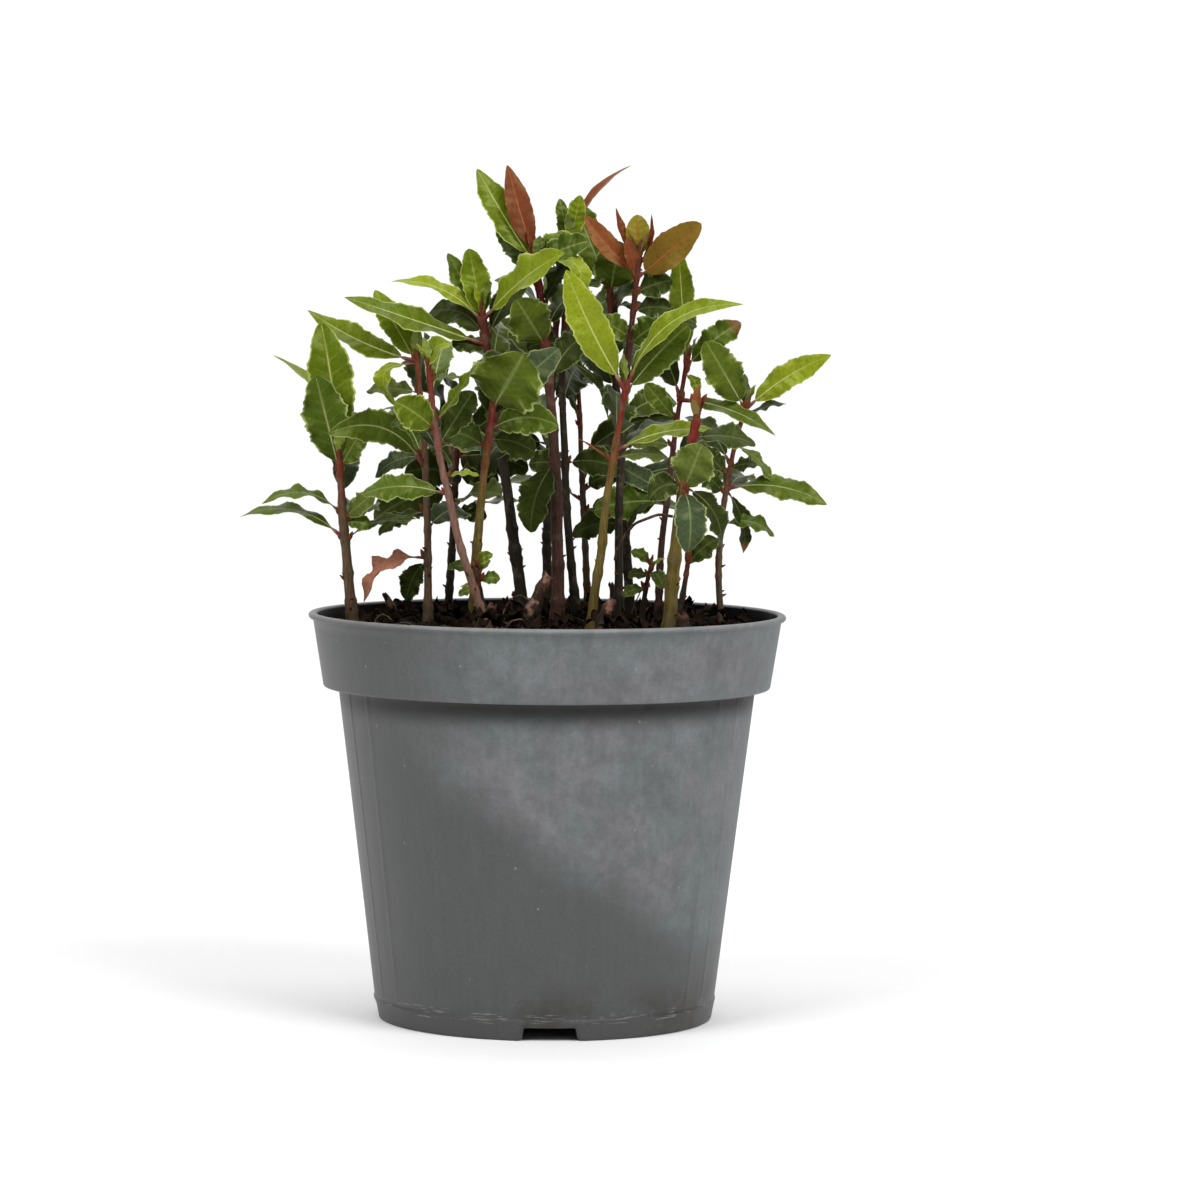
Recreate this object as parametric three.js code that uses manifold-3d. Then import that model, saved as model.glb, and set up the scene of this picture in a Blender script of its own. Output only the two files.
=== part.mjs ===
import * as THREE from 'three';
import { mergeVertices } from 'three/addons/utils/BufferGeometryUtils.js';
import Module from 'manifold-3d';

// Bay laurel shrub: a clump of slim young stems in a grey nursery pot.
// Millimetres, +Z up, the ground at z = 0, the viewer on the -Y side.

// Pot
const POT_HEIGHT = 162;
const POT_SIDES = 48;
const WALL = 1.6;
const FOOT_RADIUS = 67.4;
const BODY_RADIUS = 83.3;
const COLLAR_FOOT = 132.5;
const COLLAR_FOOT_RADIUS = 89.4;
const COLLAR_TOP_RADIUS = 93.4;
const LIP_RADIUS = 95.2;
const LIP_HEIGHT = 2.4;
const FOOT_WIDTH = 3;
const FLOOR_HEIGHT = 5.6;
const NOTCH_COUNT = 4;
const NOTCH_WIDTH = 21.5;
const NOTCH_HEIGHT = 5.2;
const NOTCH_TURN = -88;

// Soil
const SOIL_TOP = 157;
const CLEAR = 0.3;

// Limbs
const STEM_FOOT = SOIL_TOP + CLEAR;
const STEM_SIDES = 6;
const BARE_RINGS = 5;
const LEAFY_RINGS = 4;
const TIP_SHARE = 0.55;
const FLARE = 0.5;
const FLARE_SHARE = 0.1;
const CROWDING = 1.5;

// Leaves
const LEAF_RINGS = 6;
const STALK = 0.14;
const STALK_HALF_WIDTH = 0.9;
const STALK_HALF_DEPTH = 0.6;
const LEAF_HALF_DEPTH = 0.011;
const BLUNTNESS = 0.58;
const BLADE_LEAN = 0.95;
const FOLD = 0.16;
const GOLDEN_SHARE = 0.618;
const LEAF_CLEAR = 4.6;
const LIMB_CLEAR = 2.6;
const SPOT_ROWS = 8;

// Crown space: a dome that the leaves of the seeded rule stay under
const DOME_TOP = 322;
const DOME_FALL = 0.0066;
const CROWN_FOOT = 166;
const CROWN_DEPTH = 94;

// Gaps that let the viewer see through the crown: left, right, foot and top in the plane of the pot's axis
const GAPS = [
  [4.8, 11, 228, 245],
  [11, 19, 231, 243],
  [-39, -30, 257, 265],
  [-35, -28, 244, 252],
  [-74, -58, 215, 231],
  [-93, -85, 205, 218],
  [12, 16, 296, 303],
  [76, 90, 253, 262],
];
const VIEW_DISTANCE = 1792;
const VIEW_LEVEL = 161;
const VIEW_FALL = 0.062;
const VIEWER_TURN = -90;

// The crown's box stands centred over the origin
const CENTRE = [5.74, 0];

// One leaf as seen: share of the stem's height, compass turn (0 right, 90 away, -90 to the viewer),
// rise of its chord, chord length, width, how far its top is turned to the viewer, and its arch
function leaf(at, turn, rise, length, width, face, arch) {
  return { at, turn, rise, length, width, face, arch };
}

// Each shoot: foot on the soil, top, foot girth, sideways bow, bare share, and how many leaves
// the rule adds, over which arc about the far side and how large
const SHOOTS = [
  {
    name: 'far_left', foot: [-77.4, -5], top: [-83.4, -5, 224], girth: 4.6, bow: [-1, 0],
    bare: 0.41, more: 3, arc: 40, size: 1,
    leaves: [
      leaf(0.9, -160, 75, 40, 18, 88, 0.0), leaf(0.96, 150, 81, 57, 18, 75, 0.02),
      leaf(0.98, 151, 53, 52, 11, -30, 0.14), leaf(0.97, 72, 43, 29, 12, 40, 0.1),
      leaf(0.93, -10, 60, 18, 11, 70, 0.0), leaf(0.65, -168, 8, 33, 8, 25, 0.2),
      leaf(0.5, -178, 12, 43.3, 9, 25, 0.17), leaf(0.63, -30, 36, 18, 9, 60, 0.0),
      leaf(0.6, -20, -5, 12, 7, 60, 0.1),
      leaf(0.5, -15, 18, 31, 6, 30, 0.1),
    ],
  },
  {
    name: 'left', foot: [-48, 6], top: [-53, 4, 263], girth: 3.4, bow: [3, 0],
    bare: 0.12, more: 3, arc: 120, size: 1,
    leaves: [
      leaf(0.99, 166, 24, 50, 12, 55, -0.05), leaf(0.98, 160, 58, 35, 11, 70, 0.0),
      leaf(0.98, -160, -63, 19.5, 9, 30, 0.53), leaf(0.59, -150, 17, 48, 14, 70, 0.19),
      leaf(0.42, 172, -25, 22, 8, 35, 0.1), leaf(0.245, -165, -33, 32, 8, 40, 0.22),
      leaf(0.24, 165, -62, 19, 10, 70, 0.1),
      leaf(0.87, 170, 2, 22, 9, 50, 0.06), leaf(0.63, 172, -22, 22, 9, 55, 0.12),
    ],
  },
  {
    name: 'left_back', foot: [-41, 58], top: [-37, 58, 238], girth: 3.4, bow: [0, 0],
    bare: 0.4, more: 9, arc: 330, size: 1,
    leaves: [
      leaf(0.62, -165, -18, 36, 19, 80, 0.1), leaf(0.8, -15, -8, 31, 18, 75, 0.1),
      leaf(0.5, 10, 0, 14, 9, 60, 0.1),
      leaf(0.7, -150, 5, 24, 16, 80, 0.1), leaf(0.7, -5, -3, 18, 13, 70, 0.1),
    ],
  },
  {
    name: 'left_front', foot: [-23, -42], top: [-47, -46, 262], girth: 3.5, bow: [-8, 0],
    bare: 0.47, more: 2, arc: 100, size: 1,
    leaves: [
      leaf(0.95, -40, 50, 17, 12, 50, 0.3), leaf(0.93, 10, 2, 16, 6, 20, 0.1),
      leaf(0.75, -150, 32, 21, 14, 85, 0.04), leaf(0.73, 160, 14, 20, 8, 40, 0.1),
      leaf(0.78, -18, 55, 28, 9, 40, -0.05), leaf(0.69, 22, 56, 26, 12, 70, 0.0),
      leaf(0.51, -165, 2, 34, 12, 60, 0.08), leaf(0.57, -10, 6, 14, 5, 20, 0.1),
    ],
  },
  {
    name: 'centre_left_front', foot: [-29, -28], top: [-22, -31, 246], girth: 4.3, bow: [-3, 0],
    bare: 0.6, more: 2, arc: 100, size: 1,
    leaves: [
      leaf(0.97, -45, 52, 28, 29, 85, 0.0), leaf(0.88, -12, 5, 28, 14, 75, 0.15),
      leaf(0.84, 15, -15, 20, 14, 70, 0.1), leaf(0.98, 14, 42, 36, 15, 60, 0.0),
      leaf(0.8, 165, 20, 19, 14, 60, 0.1),
    ],
  },
  {
    name: 'centre_left', foot: [-9, 12], top: [-27, 8, 281], girth: 5, bow: [0, 0],
    bare: 0.4, more: 4, arc: 140, size: 1,
    leaves: [
      leaf(0.97, -174, 25, 41, 9, 40, 0.12), leaf(0.97, 140, 75, 31, 12, 70, 0.0),
      leaf(0.96, 150, 60, 34, 10, 60, 0.0), leaf(0.98, -35, 33, 50, 16, 50, 0.04),
      leaf(0.9, -166, 18, 61, 14, 35, 0.0), leaf(0.92, 160, 23, 27, 15, 50, 0.2),
      leaf(0.885, -172, 10, 15, 8, 60, 0.05),
    ],
  },
  {
    name: 'centre', foot: [4, 2], top: [-6.2, -2, 305], girth: 5.2, bow: [6, 0],
    bare: 0.39, more: 4, arc: 160, size: 1,
    leaves: [
      leaf(0.97, 166, 57.5, 45.5, 13, 60, -0.02), leaf(0.99, 160, 72.5, 38.8, 10.5, 75, -0.02),
      leaf(0.98, -24, 20, 24, 13, 60, 0.02), leaf(0.97, -45, -50, 28, 9, 30, 0.55),
      leaf(0.86, -20, 58, 24, 10, 50, 0.0), leaf(0.75, -148, 48, 25, 18, 85, 0.0),
      leaf(0.44, -165, -69, 30, 14, 60, 0.1), leaf(0.965, 8, 44, 20, 10, 60, 0.12),
    ],
  },
  {
    name: 'centre_back', foot: [0, 48], top: [4, 50, 298], girth: 4, bow: [-3, 0],
    bare: 0.32, more: 12, arc: 360, size: 1,
    leaves: [leaf(0.5, -165, -4, 30, 15, 70, 0.1)],
  },
  {
    name: 'centre_right_back', foot: [12.5, 28], top: [8, 27, 312], girth: 3.6, bow: [-9, 0],
    bare: 0.36, more: 6, arc: 180, size: 1,
    leaves: [
      leaf(0.98, 10, 54, 42, 8, 15, 0.09), leaf(0.98, -50, 72, 21, 8, 80, 0.0),
      leaf(0.41, -14, -6, 25, 13, 70, 0.1),
      leaf(0.97, 150, 78, 21, 7, 70, 0.0),
      leaf(0.4, -165, 5, 15, 11, 75, 0.1), leaf(0.72, -160, -5, 16, 13, 75, 0.1),
      leaf(0.68, -6, -51, 29.6, 6, 30, 0.19),
    ],
  },
  {
    name: 'back', foot: [17, 64], top: [12, 68, 252], girth: 3, bow: [0, 0],
    bare: 0.3, more: 13, arc: 330, size: 1,
    leaves: [],
  },
  {
    name: 'right_front', foot: [17, -38], top: [30, -42, 254], girth: 3.9, bow: [-2, 0],
    bare: 0.5, more: 1, arc: 80, size: 1,
    leaves: [
      leaf(0.98, -170, 63, 52, 15, 85, -0.03), leaf(0.97, -30, 34, 62, 11, 45, 0.18),
      leaf(0.96, -5, 48, 37, 15, 75, 0.03), leaf(0.73, -13, 13, 40, 10, 30, 0.08),
      leaf(0.7, 8, 2, 22, 8, 35, 0.08), leaf(0.69, 172, 34, 17, 2.4, 20, 0.0),
    ],
  },
  {
    name: 'right_top', foot: [29, 12], top: [36, 8, 306], girth: 3.6, bow: [-6, 0],
    bare: 0.5, more: 2, arc: 90, size: 1,
    leaves: [
      leaf(0.98, 100, 74, 19, 10, 70, 0.0), leaf(0.98, 160, 66, 23, 5, 30, -0.1),
      leaf(0.94, 176, 48, 32, 9, 70, -0.04), leaf(0.97, -5, 78, 20, 5, 30, -0.15),
      leaf(0.93, -150, 74, 17, 6, 70, 0.0), leaf(0.93, -22, 39, 35, 14, 80, 0.0),
      leaf(0.89, -8, 20, 16, 11, 70, 0.05), leaf(0.78, -5, 8, 27, 13, 60, 0.1),
      leaf(0.75, -40, 30, 18, 12, 70, 0.05),
      leaf(0.77, -150, 25, 16, 11, 70, 0.05), leaf(0.84, 5, 4, 16, 10, 60, 0.1),
    ],
  },
  {
    name: 'right_back', foot: [34, 38], top: [24, 36, 295], girth: 4, bow: [0, 0],
    bare: 0.27, more: 7, arc: 180, size: 1,
    leaves: [
      leaf(0.97, 168, 67, 40, 15, 75, 0.0), leaf(0.96, -75, 58, 25, 18, 88, 0.0),
      leaf(0.92, -8, -2, 16, 6, 20, 0.1), leaf(0.42, -172, -12, 14, 10, 60, 0.1),
      leaf(0.28, 178, -12, 22, 12, 60, 0.1),
    ],
  },
  {
    name: 'right', foot: [44.8, 22], top: [55.5, 19, 263], girth: 3, bow: [-4, 0],
    bare: 0.42, more: 2, arc: 120, size: 1,
    leaves: [
      leaf(0.97, -10, 40, 29, 12, 60, 0.05), leaf(0.98, -120, 81, 49, 11, 80, 0.0),
      leaf(0.85, -44, -13, 52, 8, 45, 0.05), leaf(0.77, -165, 48, 20, 9, 70, 0.0),
      leaf(0.49, -177, 27, 27, 10, 60, 0.0), leaf(0.46, 174, -7, 30, 15, 65, 0.05),
      leaf(0.45, -160, -40, 21, 4, 20, 0.28), leaf(0.95, -20, -60, 10, 5, 50, 0.2),
      leaf(0.67, 178, 4, 17, 8, 60, 0.08),
    ],
  },
  {
    name: 'right_woody', foot: [47.6, -46], top: [57.5, -50, 242], girth: 5.7, bow: [-4, 0],
    bare: 0.6, more: 1, arc: 80, size: 1,
    leaves: [
      leaf(0.65, -51, 60, 22, 17, 88, 0.0), leaf(0.66, -80, -62, 27, 13, 60, 0.3),
      leaf(0.68, 8, -56, 28, 11, 55, 0.15), leaf(0.68, -165, -20, 15, 12, 70, 0.2),
      leaf(0.9, 20, -5, 25, 12, 40, 0.08), leaf(0.97, 60, 82, 15, 4, 40, 0.05),
    ],
  },
  {
    name: 'right_short', foot: [51.5, -8], top: [56, -8, 185], girth: 2.8, bow: [0, 0],
    bare: 0.5, more: 1, arc: 60, size: 1,
    leaves: [leaf(0.9, -10, 42, 16, 10, 70, 0.05)],
  },
  {
    name: 'far_right', foot: [70.1, 4], top: [79, 2, 245.5], girth: 2.8, bow: [-10, 0],
    bare: 0.41, more: 3, arc: 70, size: 1,
    leaves: [
      leaf(0.98, -163, 58, 32, 15, 85, 0.0), leaf(0.98, -13, 33, 40.8, 11, 70, 0.05),
      leaf(0.92, 4, 24, 20, 6, 20, 0.1), leaf(0.82, 0, -45, 22, 7, 40, 0.1),
      leaf(0.62, -8, -8, 41, 11.5, 45, 0.1), leaf(0.455, -6, -10, 22, 9, 45, 0.16),
      leaf(0.6, -150, 40, 16, 10, 60, 0.0), leaf(0.68, 160, 44, 16, 9, 60, 0.0),
      leaf(0.71, -25, 8, 12, 8, 50, 0.1), leaf(0.62, 5, -73, 27, 8, 50, 0.1),
    ],
  },
  {
    name: 'low_left', foot: [-24, -34], top: [-28.5, -36, 183], girth: 2.4, bow: [1, 0],
    bare: 0.4, more: 2, arc: 160, size: 0.2,
    leaves: [
      leaf(0.97, -25, 36, 9, 5, 60, 0.1), leaf(0.75, -20, 8, 9, 5.5, 60, 0.1),
      leaf(0.9, -165, 8, 12, 5, 50, 0.1), leaf(0.62, -150, -12, 10, 4.5, 50, 0.1),
    ],
  },
  {
    name: 'low_right', foot: [37, -24], top: [41, -27, 184], girth: 2.4, bow: [-1, 0],
    bare: 0.4, more: 2, arc: 160, size: 0.2,
    leaves: [
      leaf(0.96, -170, 34, 10, 5.5, 60, 0.1), leaf(0.8, -160, 0, 9, 5, 60, 0.1),
      leaf(0.6, -172, -14, 10, 5, 60, 0.1), leaf(0.85, -60, -30, 12, 6, 60, 0.2),
    ],
  },
  {
    name: 'old_stub', foot: [-8, -40], top: [1, -38, 180], girth: 6.4, bow: [-2, 0],
    bare: 1, more: 0, arc: 0, size: 1,
    leaves: [],
  },
];

const wasm = await Module();
wasm.setup();

const { degToRad, clamp, smoothstep } = THREE.MathUtils;

// A repeatable number between 0 and 1
function chance(seed, step) {
  const wave = Math.sin(seed * 12.9898 + step * 78.233) * 43758.5453;
  return wave - Math.floor(wave);
}

function solid(shape) {
  shape.deleteAttribute('normal');
  shape.deleteAttribute('uv');
  const welded = mergeVertices(shape, 1e-4);
  const index = welded.index.array;
  const corners = [];
  for (let i = 0; i < index.length; i += 3) {
    const [a, b, c] = [index[i], index[i + 1], index[i + 2]];
    if (a !== b && b !== c && c !== a) {
      corners.push(a, b, c);
    }
  }
  const vertProperties = new Float32Array(welded.attributes.position.array);
  return new wasm.Manifold(new wasm.Mesh({ numProp: 3, vertProperties, triVerts: new Uint32Array(corners) }));
}

function turned(profile, sides) {
  const shape = new THREE.LatheGeometry(profile.map(([r, z]) => new THREE.Vector2(r, z)), sides);
  return solid(shape.rotateX(Math.PI / 2));
}

function makePot() {
  const collarInside = COLLAR_TOP_RADIUS - WALL;
  const pot = turned([
    [0, FLOOR_HEIGHT],
    [FOOT_RADIUS - 0.7 - FOOT_WIDTH, FLOOR_HEIGHT],
    [FOOT_RADIUS - 0.7 - FOOT_WIDTH, 0],
    [FOOT_RADIUS - 0.7, 0],
    [FOOT_RADIUS, 1.4],
    [BODY_RADIUS, COLLAR_FOOT],
    [COLLAR_FOOT_RADIUS - 1.2, COLLAR_FOOT],
    [COLLAR_FOOT_RADIUS, COLLAR_FOOT + 1.4],
    [COLLAR_TOP_RADIUS, POT_HEIGHT - LIP_HEIGHT],
    [LIP_RADIUS, POT_HEIGHT - LIP_HEIGHT + 0.4],
    [LIP_RADIUS, POT_HEIGHT - 0.6],
    [LIP_RADIUS - 0.7, POT_HEIGHT],
    [collarInside + 0.5, POT_HEIGHT],
    [collarInside, POT_HEIGHT - 0.7],
    [COLLAR_FOOT_RADIUS - WALL, COLLAR_FOOT + WALL + 0.6],
    [BODY_RADIUS - WALL, COLLAR_FOOT + WALL - 0.6],
    [FOOT_RADIUS - WALL + 0.6, FLOOR_HEIGHT + WALL],
    [0, FLOOR_HEIGHT + WALL],
  ], POT_SIDES);
  let cut = pot;
  for (let i = 0; i < NOTCH_COUNT; i += 1) {
    const notch = new THREE.BoxGeometry(16, NOTCH_WIDTH, 2 * NOTCH_HEIGHT);
    notch.translate(FOOT_RADIUS - 1, 0, 0);
    notch.rotateZ(degToRad(NOTCH_TURN + i * 360 / NOTCH_COUNT));
    cut = cut.subtract(solid(notch));
  }
  return cut;
}

function makeSoil() {
  const rise = (SOIL_TOP - COLLAR_FOOT) / (POT_HEIGHT - LIP_HEIGHT - COLLAR_FOOT);
  const edge = COLLAR_FOOT_RADIUS + (COLLAR_TOP_RADIUS - COLLAR_FOOT_RADIUS) * rise;
  return turned([
    [0, FLOOR_HEIGHT + WALL + CLEAR],
    [FOOT_RADIUS - WALL - 0.2, FLOOR_HEIGHT + WALL + CLEAR],
    [BODY_RADIUS - WALL - CLEAR - 0.2, COLLAR_FOOT + WALL - 0.6],
    [BODY_RADIUS - WALL - CLEAR - 0.2, COLLAR_FOOT + WALL + 1.4],
    [COLLAR_FOOT_RADIUS - WALL - 0.6, COLLAR_FOOT + WALL + 1.4],
    [edge - WALL - 0.7, SOIL_TOP - 0.8],
    [edge - WALL - 1.6, SOIL_TOP],
    [0, SOIL_TOP],
  ], 36);
}

function pathOf(shoot) {
  const foot = new THREE.Vector3(shoot.foot[0], shoot.foot[1], STEM_FOOT);
  const top = new THREE.Vector3(...shoot.top);
  const bend = foot.clone().lerp(top, 0.5);
  bend.x += shoot.bow[0];
  bend.y += shoot.bow[1];
  return new THREE.QuadraticBezierCurve3(foot, bend, top);
}

function radiusAt(shoot, t) {
  const flare = Math.max(0, 1 - t / FLARE_SHARE) ** 2;
  return shoot.girth / 2 * (1 - (1 - TIP_SHARE) * t) * (1 + FLARE * flare);
}

// A limb between two shares of its shoot: level rings carried up the bowed path
function limb(shoot, from, to, rings) {
  const shape = new THREE.CylinderGeometry(1, 1, 1, STEM_SIDES, rings);
  const path = pathOf(shoot);
  const spot = shape.attributes.position;
  for (let i = 0; i < spot.count; i += 1) {
    const t = from + (to - from) * (spot.getY(i) + 0.5) ** CROWDING;
    const r = radiusAt(shoot, t);
    const axis = path.getPoint(t);
    spot.setXYZ(i, axis.x + r * spot.getX(i), axis.y - r * spot.getZ(i), axis.z);
  }
  return solid(shape);
}

function leafFrame(shoot, row) {
  const turn = degToRad(row.turn);
  const rise = degToRad(row.rise);
  const face = degToRad(row.face);
  const level = Math.cos(rise);
  const along = new THREE.Vector3(level * Math.cos(turn), level * Math.sin(turn), Math.sin(rise));
  const lift = new THREE.Vector3(0, 0, 1).addScaledVector(along, -along.z).normalize();
  const look = degToRad(row.look ?? VIEWER_TURN);
  const view = new THREE.Vector3(Math.cos(look), Math.sin(look), 0);
  view.addScaledVector(along, -along.dot(view)).normalize();
  const normal = lift.clone().multiplyScalar(Math.cos(face));
  normal.addScaledVector(view, Math.sin(face)).normalize();
  const across = normal.clone().cross(along);
  return { ...row, base: pathOf(shoot).getPoint(row.at), along, lift, normal, across };
}

// Half the blade's width at a share of the leaf's length
function halfWidth(frame, t) {
  if (t <= STALK) {
    return STALK_HALF_WIDTH;
  }
  const s = (t - STALK) / (1 - STALK);
  const full = frame.width / 2 * Math.sin(Math.PI * s ** BLADE_LEAN) ** BLUNTNESS;
  return Math.max(STALK_HALF_WIDTH * (1 - s), full);
}

function middle(frame, t) {
  const arch = 4 * frame.arch * t * (1 - t);
  return frame.base.clone()
    .addScaledVector(frame.along, frame.length * t)
    .addScaledVector(frame.lift, frame.length * arch);
}

// A leaf: a ball of few facets pressed into a folded blade on a stalk sunk in the stem
function leafSolid(frame) {
  const shape = new THREE.SphereGeometry(1, 4, LEAF_RINGS);
  const spot = shape.attributes.position;
  for (let i = 0; i < spot.count; i += 1) {
    const ring = Math.round(Math.acos(clamp(spot.getY(i), -1, 1)) / Math.PI * LEAF_RINGS);
    const size = Math.sin(ring / LEAF_RINGS * Math.PI);
    const end = ring === 0 || ring === LEAF_RINGS;
    const side = end ? 0 : spot.getX(i) / size;
    const above = end ? 0 : spot.getZ(i) / size;
    const spread = smoothstep(ring, 2, LEAF_RINGS);
    const t = ring < 2 ? 0.04 * ring - 0.02 : STALK + (1 - STALK) * spread;
    const half = halfWidth(frame, t);
    const depth = ring < 3 ? STALK_HALF_DEPTH : Math.max(0.4, LEAF_HALF_DEPTH * frame.length);
    const fold = ring < 3 ? 0 : FOLD * half * Math.abs(side);
    const point = middle(frame, t)
      .addScaledVector(frame.across, side * half)
      .addScaledVector(frame.normal, above * depth + fold);
    spot.setXYZ(i, point.x, point.y, point.z);
  }
  return solid(shape);
}

function leafSpots(frame) {
  const spots = [];
  for (let row = 0; row < SPOT_ROWS; row += 1) {
    const t = 0.25 + 0.75 * row / (SPOT_ROWS - 1);
    for (const side of [-0.65, 0, 0.65]) {
      spots.push(middle(frame, t).addScaledVector(frame.across, side * halfWidth(frame, t)));
    }
  }
  return spots;
}

// What already holds space: points with a clear radius and the shoot whose leaves may touch them
const taken = [];

function takeLimbs() {
  for (const shoot of SHOOTS) {
    const path = pathOf(shoot);
    const steps = Math.ceil((shoot.top[2] - STEM_FOOT) / 4);
    for (let i = 0; i <= steps; i += 1) {
      const t = i / steps;
      const owner = t < shoot.bare ? null : shoot;
      taken.push({ point: path.getPoint(t), clear: radiusAt(shoot, t) + LIMB_CLEAR, owner });
    }
  }
}

function isFree(shoot, spots) {
  return spots.every((spot) => taken.every(
    (held) => held.owner === shoot || held.point.distanceTo(spot) > held.clear,
  ));
}

function underDome(spots) {
  return spots.every((spot) => {
    const roof = DOME_TOP - DOME_FALL * (spot.x ** 2 + spot.y ** 2);
    return spot.z < roof && spot.z > CROWN_FOOT && Math.abs(spot.y) < CROWN_DEPTH;
  });
}

function clearOfGaps(spots) {
  return spots.every((spot) => {
    const near = VIEW_DISTANCE / (VIEW_DISTANCE + spot.y);
    const x = spot.x * near;
    const z = VIEW_LEVEL + (spot.z - VIEW_LEVEL + VIEW_FALL * spot.y) * near;
    return GAPS.every(([left, right, foot, top]) => x < left || x > right || z < foot || z > top);
  });
}

function keep(shoot, frame, spots) {
  shoot.grown.push(frame);
  for (const point of spots) {
    taken.push({ point, clear: LEAF_CLEAR, owner: shoot });
  }
}

// The leaves seen: each turns a little, first one way and then the other, until it is clear
function growSeen(shoot) {
  for (const row of shoot.leaves) {
    for (let trial = 0; trial < 13; trial += 1) {
      const sway = (trial % 2 ? 1 : -1) * Math.ceil(trial / 2) * 7;
      const frame = leafFrame(shoot, { ...row, turn: row.turn + sway });
      const spots = leafSpots(frame);
      if (isFree(shoot, spots)) {
        keep(shoot, frame, spots);
        break;
      }
    }
  }
}

// The other leaves: a golden share of the arc apart, longer and flatter toward the foot of the leafy part
function growByRule(shoot, seed) {
  for (let step = 0; step < shoot.more; step += 1) {
    const share = (step + 0.6) / (shoot.more + 0.2);
    const length = shoot.size * (34 + 14 * chance(seed, step));
    for (let trial = 0; trial < 9; trial += 1) {
      const turn = 90 + shoot.arc * ((GOLDEN_SHARE * (step + 3 * trial) + chance(seed, 50)) % 1 - 0.5);
      const frame = leafFrame(shoot, {
        at: shoot.bare + (1 - shoot.bare) * (0.1 + 0.88 * share),
        turn,
        look: turn + (Math.cos(degToRad(turn)) > 0 ? -90 : 90),
        rise: 4 + 48 * share + 14 * (chance(seed, step + 20) - 0.5) + 3 * trial,
        length: length * (1 - 0.04 * trial),
        width: length * (0.27 + 0.1 * chance(seed, step + 40)),
        face: 70 * chance(seed, step + 60),
        arch: 0.06 + 0.1 * chance(seed, step + 80),
      });
      const spots = leafSpots(frame);
      if (underDome(spots) && clearOfGaps(spots) && isFree(shoot, spots)) {
        keep(shoot, frame, spots);
        break;
      }
    }
  }
}

// One mass: the leafy stem with its leaves fused on; only the largest closed body is kept
function makeMass(shoot) {
  let mass = limb(shoot, shoot.bare, 1, LEAFY_RINGS);
  for (const frame of shoot.grown) {
    mass = mass.add(leafSolid(frame));
  }
  return mass.decompose().reduce((most, body) => (body.volume() > most.volume() ? body : most));
}

const MATERIALS = {
  pot: { color: 0x5b5b5b, roughness: 0.62, metalness: 0 },
  soil: { color: 0x33261d, roughness: 0.95, metalness: 0 },
  stem: { color: 0x5a4430, roughness: 0.8, metalness: 0 },
  foliage: { color: 0x56722f, roughness: 0.45, metalness: 0 },
};

const shrub = new THREE.Group();
shrub.name = 'bay_laurel_shrub';

function place(name, kind, body) {
  const { vertProperties, triVerts } = body.getMesh();
  const shape = new THREE.BufferGeometry();
  shape.setAttribute('position', new THREE.BufferAttribute(new Float32Array(vertProperties), 3));
  shape.setIndex(new THREE.BufferAttribute(new Uint32Array(triVerts), 1));
  shape.translate(CENTRE[0], CENTRE[1], 0);
  shape.computeVertexNormals();
  const mesh = new THREE.Mesh(shape, new THREE.MeshStandardMaterial(MATERIALS[kind]));
  mesh.name = name;
  shrub.add(mesh);
}

place('pot', 'pot', makePot());
place('soil', 'soil', makeSoil());

takeLimbs();
for (const shoot of SHOOTS) {
  shoot.grown = [];
  growSeen(shoot);
}
SHOOTS.forEach((shoot, i) => growByRule(shoot, i + 1));

for (const shoot of SHOOTS) {
  const leafy = shoot.bare < 1;
  const gap = leafy ? CLEAR / (shoot.top[2] - STEM_FOOT) : 0;
  place(`stem_${shoot.name}`, 'stem', limb(shoot, 0, shoot.bare - gap, BARE_RINGS));
  if (leafy) {
    place(`foliage_${shoot.name}`, 'foliage', makeMass(shoot));
  }
}

export default shrub;
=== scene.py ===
"""Dresses the potted bay laurel in the part's own frame: dusty pot, loose soil, barked stems, leaves."""

import math
import random

import bmesh
import bpy
import numpy as np
from bpy.props import FloatProperty, FloatVectorProperty, IntProperty, PointerProperty
from bpy.types import Operator, Panel, PropertyGroup
from mathutils import Matrix, Vector, noise


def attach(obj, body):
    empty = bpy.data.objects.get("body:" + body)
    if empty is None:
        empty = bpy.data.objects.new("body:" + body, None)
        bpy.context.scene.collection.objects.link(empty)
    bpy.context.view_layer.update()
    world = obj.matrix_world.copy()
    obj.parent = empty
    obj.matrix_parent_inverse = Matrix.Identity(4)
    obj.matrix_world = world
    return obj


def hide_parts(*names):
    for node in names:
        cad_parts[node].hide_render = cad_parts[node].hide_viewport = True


bl_info = {
    "name": "Potted Bay Laurel",
    "version": (1, 0, 0),
    "blender": (4, 5, 0),
    "location": "View3D > Sidebar > Bay Laurel",
    "description": "Builds the looks of a young bay laurel clump in its nursery pot",
    "category": "Object",
}

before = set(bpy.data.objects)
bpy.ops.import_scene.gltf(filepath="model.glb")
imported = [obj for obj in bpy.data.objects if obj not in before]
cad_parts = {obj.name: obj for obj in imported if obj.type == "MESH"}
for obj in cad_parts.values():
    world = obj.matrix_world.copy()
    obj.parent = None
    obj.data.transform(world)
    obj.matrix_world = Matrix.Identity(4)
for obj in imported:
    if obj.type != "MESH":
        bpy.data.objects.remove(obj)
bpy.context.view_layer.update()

MM = 0.001
SIDEWAYS, BACKWARD, UPWARD = np.eye(3)
AXIS_X = 5.74  # the pot's axis stands this far right of the origin

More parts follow.
